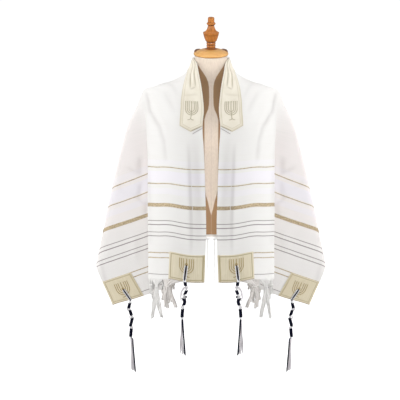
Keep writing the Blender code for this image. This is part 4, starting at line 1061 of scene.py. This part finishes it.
patch_satin = start_finish("patch_satin")
across, along = flat_place()
from_end = PATCH_HEIGHT - along
inside = Wire.maths("MINIMUM", Wire.maths("MINIMUM", across, PATCH_WIDTH - across),
                    Wire.maths("MINIMUM", along + 0.0022, from_end + 0.0010))
line = band(inside, 0.0068, 0.0012, 0.0009)
rim = 1 - rise(inside, 0.0046, 0.0060)
ribs = noise((across * 260.0, along * 12.0, 0.0), 1.0, 3.0, 0.65)
uneven = noise((across, along, 4.0), 26.0, 3.0)
x, _, _ = parts_of(world_place())
colour = coats(PALE_GOLD, (rise(ribs, 0.3, 0.7), PALE_GOLD_LIGHT),
               (rise(uneven, 0.5, 0.85) * 0.3, PATCH_LINE), (rim * 0.45, PALE_GOLD_LIGHT),
               (line * 0.75, PATCH_LINE),
               # painted shade along the near edge
               (band(across, 0.0050, 0.0032, 0.0016) * 0.45, PATCH_LINE),
               # painted shade along the lower edge
               ((1 - rise(from_end, 0.0010, 0.0030)) * 0.55, PATCH_EDGE_SHADE),
               # painted sheen on patches far out to the sides
               (rise(abs(x), 0.18, 0.26) * 0.25, PATCH_PAINTED_SHEEN))
set_finish(patch_satin, {"Sheen Weight": 0.05, "Specular IOR Level": 0.4}, colour, 0.42 + ribs * 0.15,
           relief=ribs * 0.4 + waves(across, RIB_PITCH) * 0.08 + rim * 0.5 + uneven * 0.4 - line * 0.6,
           depth=0.0009)
gold_thread = stitch_finish("patch_thread", PATCH_THREAD, PATCH_LINE, 0.4, Metallic=0.2)


def ring_path(place, wide, up, radius, steps=28):
    """Points once round a circle in the plane of two directions."""
    angle = np.linspace(0.0, 2 * math.pi, steps)[:, None]
    return place + (wide * np.cos(angle) + up * np.sin(angle)) * radius


def make_patch(name, node, side, corner):
    pile = Pile()
    down, over = np.meshgrid(edged(0.0, 1.0, PATCH_STEP / PATCH_HEIGHT, 0.01),
                             edged(0.0, 1.0, PATCH_STEP / PATCH_WIDTH, 0.0075), indexing="ij")
    (top, top_near, top_far), (end, end_near, end_far) = PATCH_CUTS[corner]
    along = top + (end - top) * down
    across = ((top_near + (top_far - top_near) * over) * (1 - down)
              + (end_near + (end_far - end_near) * over) * down)
    # the border lies the same way on all four: the near side is the one towards the front edge
    flats = np.stack([over * PATCH_WIDTH, down * PATCH_HEIGHT], -1)
    if side < 0:
        along, across, flats = -along[::-1], across[::-1], flats[::-1]
    shell(pile, along, across, TRIM_LOW, TRIM_HIGH, flats)
    from_end, eyelet_across = EYELETS[corner]
    work_lamp(pile, side, (eyelet_across, *PATCH_LAMPS[corner]), 1)
    eyelet_along = side * (CLOTH_HALF_LENGTH - from_end)
    place, beside, below = on_cloth(eyelet_along + side * np.array((0.0, 0.0, 0.002)),
                                    eyelet_across + np.array((0.0, 0.002, 0.0)), TRIM_HIGH + 0.0002)
    eyelet = ring_path(place, unit(beside - place), unit(below - place), EYELET_RADIUS)
    sweep(pile, eyelet, EYELET_STITCH, 8, 1)
    made = pile.make(name, [patch_satin, gold_thread])
    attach(made, "root")
    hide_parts(node)
    return made


SIDES = ((1, "right"), (-1, "left"))
CORNERS = [(side, corner, f"{corner}_{word}") for side, word in SIDES for corner in ("front", "outer")]
patches = [make_patch(f"corner_{place}", f"patch_{place}", side, corner) for side, corner, place in CORNERS]

# ---------------------------------------------------------------- tassels
# Each corner tassel is looped through the eyelet. It is tied in white double knots and wound
# between them with navy thread. White cords hang loose from its last knot beside longer navy ones.

CORD_RADIUS = 0.0012
LOOP_SWELL = (1.5, 1.35)                  # white, navy
STRAY_SWELL, LOOSE_SWELL, KNOT_SWELL = 1.2, 1.4, 1.05
CORE_RADIUS = 0.0024
WINDING_RADIUS, WINDING_OUTER, WINDING_PITCH = 0.0012, 0.0058, 0.0023
KNOT_RADIUS = 0.0036
# across where it leaves the cloth, then millimetres that it sags there. Its line, knots and
# windings are drops in millimetres, and the line has how far sideways too. A stray cord has its
# kind (1 navy, 2 shaded white), then drop and sideways at each point. A loose one has its kind,
# start sideways, end drop, end sideways, forward and sway.
TASSELS = {
    "front": (0.0690, -2,
              [(0, -1), (2.9, -2.1), (14.7, -4.2), (20, -5), (29.2, -6.4), (42.3, -1.8), (49, 0), (55.2, 0.2),
               (65.5, -1.2), (77.2, 2.2), (82.5, 3.8), (88, 5.1), (114.5, 6.9), (118.5, 6.4)],
              [0, 20, 48.8, 82.6, 118.2],
              [(2.9, 14.7), (29.2, 42.3), (55.2, 77.2), (88, 114.5)],
              [(2, (19, -2), (23, 5), (33, 8.5), (44, 8), (48, 1)),
               (2, (20, -2), (27, 3), (40, 11), (56, 10.5), (50, 2)),
               (2, (21, -1), (33, 10.5), (49, 12), (63, 9.8)),
               (2, (18, -3), (20, 3.5), (25, 6), (26, -1)),
               (2, (20, -5), (17, -9.5), (21.5, -12), (25, -7)),
               (2, (80, 4), (79, 8.5), (84, 9), (85, 5)),
               (1, (49, -3), (47, -6.5), (51.5, -7.8), (52, -3)),
               (1, (54, 3), (56, 6), (60, 5.2), (57, 1))],
              [(1, 4.8, 235, -3.4, -3, 0.3), (1, 6, 233, -2.3, -3.8, 0.3), (1, 7.3, 231, -1.2, -2.6, 0.4),
               (2, 8.8, 228, 11.5, 1, 1.2), (2, 9.6, 224, 12.5, -1, 1.6), (2, 7.8, 232, 6, 2, 1),
               (2, 7, 229, 4, -1, 1.4), (2, 9.2, 221, 8.8, 0, 0.8)]),
    "outer": (0.5225, 3.8,
              [(0, 0), (7.1, 1.3), (24.5, 5), (27.1, 3.8), (29.6, 2.1), (47.4, -4), (51.7, -6), (55.6, -6.4),
               (83.4, -0.9), (86.7, -1.8), (90, -3.2), (117.2, -1.4), (120.5, -2)],
              [3.4, 27.1, 51.7, 86.7, 120.5],
              [(7, 24.6), (29.6, 47.6), (55.6, 83.4), (89.8, 117.2)],
              [(2, (26.5, 6), (25.5, 10), (30, 10), (30, 5)),
               (2, (49, -3), (51, 2.5), (57, 1.5), (54, -5)),
               (2, (86, -4), (85, -9), (90, -8.5), (89, -3))],
              [(1, -7.8, 233, -16.6, -3, 0.3), (1, -8.4, 230, -17.2, -3.6, 0.3),
               (1, -7.2, 220, -16, -2.6, 0.4), (2, -1.2, 224, -3.7, 1, 1),
               (2, -2.6, 227, -6, -1, 1), (2, -4, 229, -8.3, 2, 1.2),
               (2, -5.4, 227, -10.6, -2, 1), (2, -6.6, 230, -12.8, 0, 0.8)]),
}
CORD_WHITE = (0.90, 0.90, 0.91)
CORD_SHADE = (0.76, 0.76, 0.80)
# white cord painted in shade, for the strays and loose white cords
CORD_WHITE_IN_SHADE = (0.82, 0.79, 0.81)
CORD_WHITE_DEEP_SHADE = (0.70, 0.67, 0.70)
NAVY = (0.003, 0.003, 0.012)
NAVY_LIGHT = (0.010, 0.011, 0.030)
CORD_LAY = 0.004


def twisted_finish(name, light, dark, lay, roughness, sheen=0.2, specular=0.4):
    """A two-ply cord's finish, with one turn of its ply to each length of lay."""
    made = start_finish(name)
    around, run = flat_place()
    ply = Wire.maths("SINE", (run / lay + around) * (4 * math.pi))
    fluff = noise((around * 6.0, run * 900.0, 0.0), 1.0, 2.0)
    set_finish(made, {"Sheen Weight": sheen, "Specular IOR Level": specular},
               blend(rise(ply + fluff * 0.5, -0.7, 0.6), dark, light), roughness,
               relief=ply * 0.5 + fluff * 0.3, depth=0.0003)
    return made


def knot(pile, centre, way):
    """A tight double knot: tilted turns of cord round the line."""
    side_way = unit(np.cross(way, (0.0, 1.0, 0.0)))
    front = np.cross(side_way, way)
    for tilt, shift in ((0.50, -0.0011), (-0.45, 0.0000), (0.25, 0.0012)):
        wide = side_way * math.cos(tilt) + way * math.sin(tilt)
        ring = ring_path(centre + way * shift, wide, front, KNOT_RADIUS, 18)
        sweep(pile, ring, CORD_RADIUS * KNOT_SWELL, 8)


def make_tassel(name, node, side, corner):
    pile = Pile()
    crossing, sag, line, knots, windings, strays, loose = TASSELS[corner]
    from_end, eyelet_across = EYELETS[corner]
    share = np.linspace(0.0, 1.0, 26)
    along = CLOTH_HALF_LENGTH - from_end * (1 - share)
    across = eyelet_across + (crossing - eyelet_across) * share
    lie = TRIM_HIGH + CORD_RADIUS + 0.0002
    end = on_cloth(side * CLOTH_HALF_LENGTH, crossing, lie + 0.0012) - (0.0, 0.0, sag / 1000)
    for order, kind in ((-1, 0), (0, 1), (1, 0)):
        lifted = lie - 0.0055 * (1 - ease(share, 0.0, 0.16)) + (0.0022 if kind else 0.0)
        apart = order * (0.0034 + 0.0008 * np.sin(math.pi * share)) * (1 - 0.2 * ease(share, 0.75, 1.0))
        path = on_cloth(side * along, across + apart, lifted)
        tail = end + np.array((side * order * 0.0014, 0.0, -0.0045))
        sweep(pile, np.concatenate([path, [tail]]), CORD_RADIUS * LOOP_SWELL[kind], 8, kind)
    drops, asides = np.transpose(line) / 1000
    foot_drop, foot_aside = drops[-1], asides[-1]

    def at(drop):
        """Places on the tassel's line at those drops."""
        return end + np.stack([side * curve_through(drops, asides, drop)[:, 0], 0 * drop, -drop], -1)

    sweep(pile, at(np.linspace(0.0, foot_drop, 90)), CORE_RADIUS, 8)
    for start, stop in np.array(windings) / 1000:
        turns = (stop - start) / WINDING_PITCH
        angle = np.linspace(0.0, 2 * math.pi * turns, round(turns * 14))
        coil = np.stack([np.cos(angle), np.sin(angle), 0 * angle], -1) * (WINDING_OUTER - WINDING_RADIUS)
        sweep(pile, at(start + (stop - start) * angle / angle[-1]) + coil, WINDING_RADIUS, 6, 1)
    for drop in np.array(knots) / 1000:
        before, centre, after = at(drop + np.array((-0.002, 0.0, 0.002)))
        knot(pile, centre, unit(after - before))
    for kind, *points in strays:
        spots = np.array([(side * aside, -4, -drop) for drop, aside in points]) / 1000
        run = lengths_along(spots)
        path = end + curve_through(run, spots, np.linspace(0.0, run[-1], 30))
        sweep(pile, path, CORD_RADIUS * STRAY_SWELL, 6, kind)
    share = np.linspace(0.0, 1.0, 40)
    for order, (kind, *lengths) in enumerate(loose):
        start_side, end_drop, end_side, forward, sway = np.array(lengths) / 1000
        swaying = sway * ease(share, 0.0, 0.3) * np.sin(math.pi * (share * 1.6 + 0.3 * order))
        spread = foot_aside + (start_side - foot_aside) * ease(share, -0.02, 0.05)
        sideways = spread + (end_side - start_side) * share + swaying
        depth = forward * (1.0 + share * 0.8) + 0.0012 * np.sin(math.pi * share * 2.2 + order)
        path = np.stack([side * sideways, depth, -foot_drop - (end_drop - foot_drop) * share], -1)
        sweep(pile, end + path, CORD_RADIUS * LOOSE_SWELL, 6, kind)
    made = pile.make(name, [cord_white, cord_navy, cord_white_shaded])
    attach(made, "root")
    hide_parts(node)
    return made


cord_white = twisted_finish("cord_white", CORD_WHITE, CORD_SHADE, CORD_LAY, 0.7)
cord_navy = twisted_finish("cord_navy", NAVY_LIGHT, NAVY, CORD_LAY, 0.8, 0.0, 0.05)
# a shaded copy of the white cord: painted shade on the strays and loose white cords
cord_white_shaded = twisted_finish("cord_white_shaded", CORD_WHITE_IN_SHADE, CORD_WHITE_DEEP_SHADE, CORD_LAY, 0.8)
tassels = [make_tassel(f"tzitzit_{place}", f"tassel_{place}", side, corner)
           for side, corner, place in CORNERS]

# ---------------------------------------------------------------- fringe
# The fringe is twisted ivory yarn that leaves the cloth's end in fans, each caught in a knot a
# thumb's width down and hanging from it in two legs.

YARN_RADIUS = 0.0013
YARN_LAY = 0.005
HEM_RADIUS = 0.0014
TIGHTNESS = 0.035
FRINGE_KNOT = 0.0046
# millimetres: across, half spread, knot drop, knot aside, then for each of two legs its yarns,
# half way drop, aside, half width, end drop, aside, half width, and the yarn (0 white, 1 white
# with painted shade, for bundles further back)
BUNDLES = [
    (98, 19, 19, 28, (12, 52, 35, 6, 88, 33, 8), (10, 47, 16, 4, 87, 1, 5), 1),
    (137, 15, 19, 1, (8, 34, 5, 4, 56, 3, 4), (8, 34, -3, 4, 62, -6, 4), 1),
    (176, 28, 24.5, 1, (16, 71, 11, 7, 126, 20, 4.5), (18, 71, -5, 8, 121, -19, 6), 0),
    (206, 10, 20, -3, (5, 34, -4, 2, 50, -3, 2), (5, 34, 2, 2, 46, 4, 2), 0),
    (252, 14, 14, 2, (6, 24, -3, 3, 36, -4, 3), (6, 24, 4, 3, 34, 6, 3), 0),
    (286, 14, 15, 0, (6, 24, -4, 3, 34, -6, 3), (6, 26, 3, 3, 38, 4, 3), 0),
    (319, 14, 14, -4, (6, 22, -8, 3, 34, -10, 3), (6, 24, -2, 3, 32, -2, 3), 1),
    (362, 13, 10, 16, (7, 35, 18, 4, 66, 22, 4), (6, 35, 12, 4, 62, 10, 3), 1),
    (400, 13, 10, 2, (6, 22, 2, 3, 40, 4, 3), (6, 22, -3, 3, 38, -4, 3), 1),
    (438, 13, 9, 0, (5, 14, 3, 2, 22, 4, 2), (5, 14, -3, 2, 20, -4, 2), 0)]
YARN = (0.93, 0.92, 0.90)
YARN_SHADE = (0.80, 0.785, 0.76)
# white yarn painted in shade, for bundles further back
YARN_IN_SHADE = (0.90, 0.865, 0.835)
YARN_IN_DEEP_SHADE = (0.76, 0.72, 0.685)


def make_fringe(name, node, side):
    pile = Pile()
    chance = np.random.default_rng(11)
    end = side * CLOTH_HALF_LENGTH
    reach = np.linspace(BUNDLES[0][0] / 1000 - 0.018, BUNDLES[-1][0] / 1000 + 0.016, 240)
    sweep(pile, on_cloth(end, reach, 0.0004), HEM_RADIUS, 6)
    for *bundle, first_leg, second_leg, kind in BUNDLES:
        middle_across, spread, knot_drop, knot_aside = np.array(bundle) / 1000
        middle = on_cloth(end, middle_across, 0.0004)
        wide = on_cloth(end, middle_across + 0.012, 0.0) - on_cloth(end, middle_across - 0.012, 0.0)
        wide = unit(wide * (1.0, 1.0, 0.0))
        deep = np.array((-wide[1], wide[0], 0.0))
        down = np.array((0.0, 0.0, -1.0))
        tied = middle + down * knot_drop + wide * knot_aside
        count = first_leg[0] + second_leg[0]
        order = 0
        for yarns, *lengths in (first_leg, second_leg):
            mid_drop, mid_aside, mid_half, end_drop, end_aside, end_half = np.array(lengths) / 1000
            for yarn in range(yarns):
                offset = (order + 0.5) / count * 2 - 1
                order += 1
                root = on_cloth(end, middle_across - offset * spread, 0.0004)
                loose = chance.uniform(-1.0, 1.0, 3)
                squeeze = deep * chance.uniform(-0.0030, 0.0030) - wide * offset * TIGHTNESS * spread ** 0.5
                fan = (yarn + 0.5) / yarns * 2 - 1
                drop = end_drop * (1.0 + 0.035 * loose[0])
                tip = middle + down * drop + wide * (end_aside - fan * end_half) + deep * loose[1] * 0.003
                half_way = (middle + down * mid_drop + wide * (mid_aside - fan * mid_half)
                            + deep * loose[2] * 0.003)
                spots = [root, tied + squeeze, tied + squeeze * 0.9 + down * 0.005, half_way, tip]
                run = lengths_along(spots)
                wanted = np.linspace(0.0, run[-1], 30)
                wave = 0.0008 * np.sin(wanted * chance.uniform(120.0, 190.0) + chance.uniform(0.0, 6.0))
                path = curve_through(run, spots, wanted) + wide * (wave * ease(wanted, 0.0, 0.02))[:, None]
                sweep(pile, path, YARN_RADIUS * chance.uniform(0.85, 1.15), 5, kind)
        for tilt in (0.35, -0.3):
            loop_wide = wide * math.cos(tilt) + down * math.sin(tilt)
            ring = ring_path(tied + down * 0.0025, loop_wide * 1.25, deep, FRINGE_KNOT, 18)
            sweep(pile, ring, YARN_RADIUS * 1.3, 6, kind)
    made = pile.make(name, [white_yarn, shaded_yarn])
    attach(made, "root")
    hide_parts(node)
    return made


white_yarn = twisted_finish("fringe_yarn", YARN, YARN_SHADE, YARN_LAY, 0.85)
# a shaded copy of the white yarn: painted shade on the bundles further back
shaded_yarn = twisted_finish("fringe_yarn_painted_shade", YARN_IN_SHADE, YARN_IN_DEEP_SHADE, YARN_LAY, 0.85)
fringes = [make_fringe(f"fringe_yarns_{word}", f"fringe_{word}", side) for side, word in SIDES]

# ---------------------------------------------------------------- studio
# A pale floor runs into a white surround. A low front light, a pair of side lights and one
# overhead are broad and soft. Two more fall on the form with its cap, and on the stand alone.

FLOOR_WHITE, FLOOR_MOTTLE = (0.80, 0.80, 0.80), (0.78, 0.78, 0.78)
FLOOR_REACH = (0.0, 0.3, 0.6, 1.0, 2.0, 4.0, 8.0, 16.0, 40.0)
FLOOR_GLOW, SURROUND_GLOW = 0.85, 1.05
SURROUND_LIGHT = 0.45
WHITE, BLACK = (1.0, 1.0, 1.0), (0.0, 0.0, 0.0)
CENTRE = (0.0, 0.0, 0.8)
# name, place, target, size, watts, and the pieces it is kept to
LIGHTS = [
    ("front_light", (0.0, -5.0, 1.5), CENTRE, 1.6, 26.0, ()),
    ("left_light", (-3.9, -1.3, 1.4), CENTRE, 1.8, 104.0, ()),
    ("right_light", (3.9, -1.3, 1.4), CENTRE, 1.8, 104.0, ()),
    ("overhead_light", (0.0, -0.6, 4.2), CENTRE, 2.4, 34.0, ()),
    ("form_light", (0.0, -4.6, 0.95), (0.0, 0.0, 0.9), 0.5, 120.0, (torso, finial, cap)),
    ("stand_light", (0.0, -3.6, 1.2), (0.0, 0.0, 0.3), 1.0, 260.0, (pole, floor_plate))]
CAMERA_PLACE = (-0.0363, -4.0, 0.70)
CAMERA_SENSOR = 36.0
FRAME_WIDTH = 1.32


def make_backing(name, points, paint, turned_over=False):
    flats = np.concatenate([points[..., :2]] * 2, 1)
    pile = Pile()
    pile.add_grid(points, flats, ring=True, turned_over=turned_over)
    made = pile.make(name, [paint])
    for ray in ("diffuse", "glossy", "transmission", "shadow"):
        setattr(made, "visible_" + ray, False)


around = once_round(96)
circle = np.stack([np.cos(around), np.sin(around), 0 * around], -1)
floor_paint = start_finish("floor_paint")
set_finish(floor_paint, {"Specular IOR Level": 0.1, "Emission Strength": FLOOR_GLOW, "Emission Color": WHITE},
           blend(noise(world_place(), 2.0, 3.0), FLOOR_WHITE, FLOOR_MOTTLE), 0.9)
make_backing("floor", (np.array(FLOOR_REACH)[:, None, None] + 0.001) * circle, floor_paint)
surround_paint = start_finish("surround_paint")
set_finish(surround_paint, {"Specular IOR Level": 0.0, "Emission Strength": SURROUND_GLOW,
                            "Emission Color": WHITE}, BLACK, 1.0)
up = np.linspace(-0.5 * math.pi + 0.001, 0.5 * math.pi - 0.001, 48)[:, None, None]
globe = (np.cos(up) * circle + np.sin(up) * (0.0, 0.0, 1.0)) * FLOOR_REACH[-1]
make_backing("surround", globe, surround_paint, turned_over=True)

scene = bpy.context.scene
scene.world = bpy.data.worlds.new("daylight")
scene.world.use_nodes = True
background = scene.world.node_tree.nodes["Background"].inputs
background["Color"].default_value = (*WHITE, 1.0)
background["Strength"].default_value = SURROUND_LIGHT

for name, place, target, size, watts, pieces in LIGHTS:
    light = bpy.data.lights.new(name, "AREA")
    light.shape, light.size, light.energy, light.color = "SQUARE", size, watts, WHITE
    lamp = bpy.data.objects.new(name, light)
    scene.collection.objects.link(lamp)
    lamp.location = place
    lamp.rotation_euler = (Vector(target) - Vector(place)).to_track_quat("-Z", "Y").to_euler()
    if pieces:
        lamp.light_linking.receiver_collection = lit = bpy.data.collections.new("lit_by_" + name)
        for piece in pieces:
            lit.objects.link(piece)

camera = bpy.data.cameras.new("camera")
camera.sensor_width = CAMERA_SENSOR
camera.lens = CAMERA_SENSOR * -CAMERA_PLACE[1] / FRAME_WIDTH
scene.camera = bpy.data.objects.new("camera", camera)
scene.collection.objects.link(scene.camera)
scene.camera.location = CAMERA_PLACE
scene.camera.rotation_euler = (math.radians(90.0), 0.0, 0.0)
scene.view_settings.view_transform = "Standard"
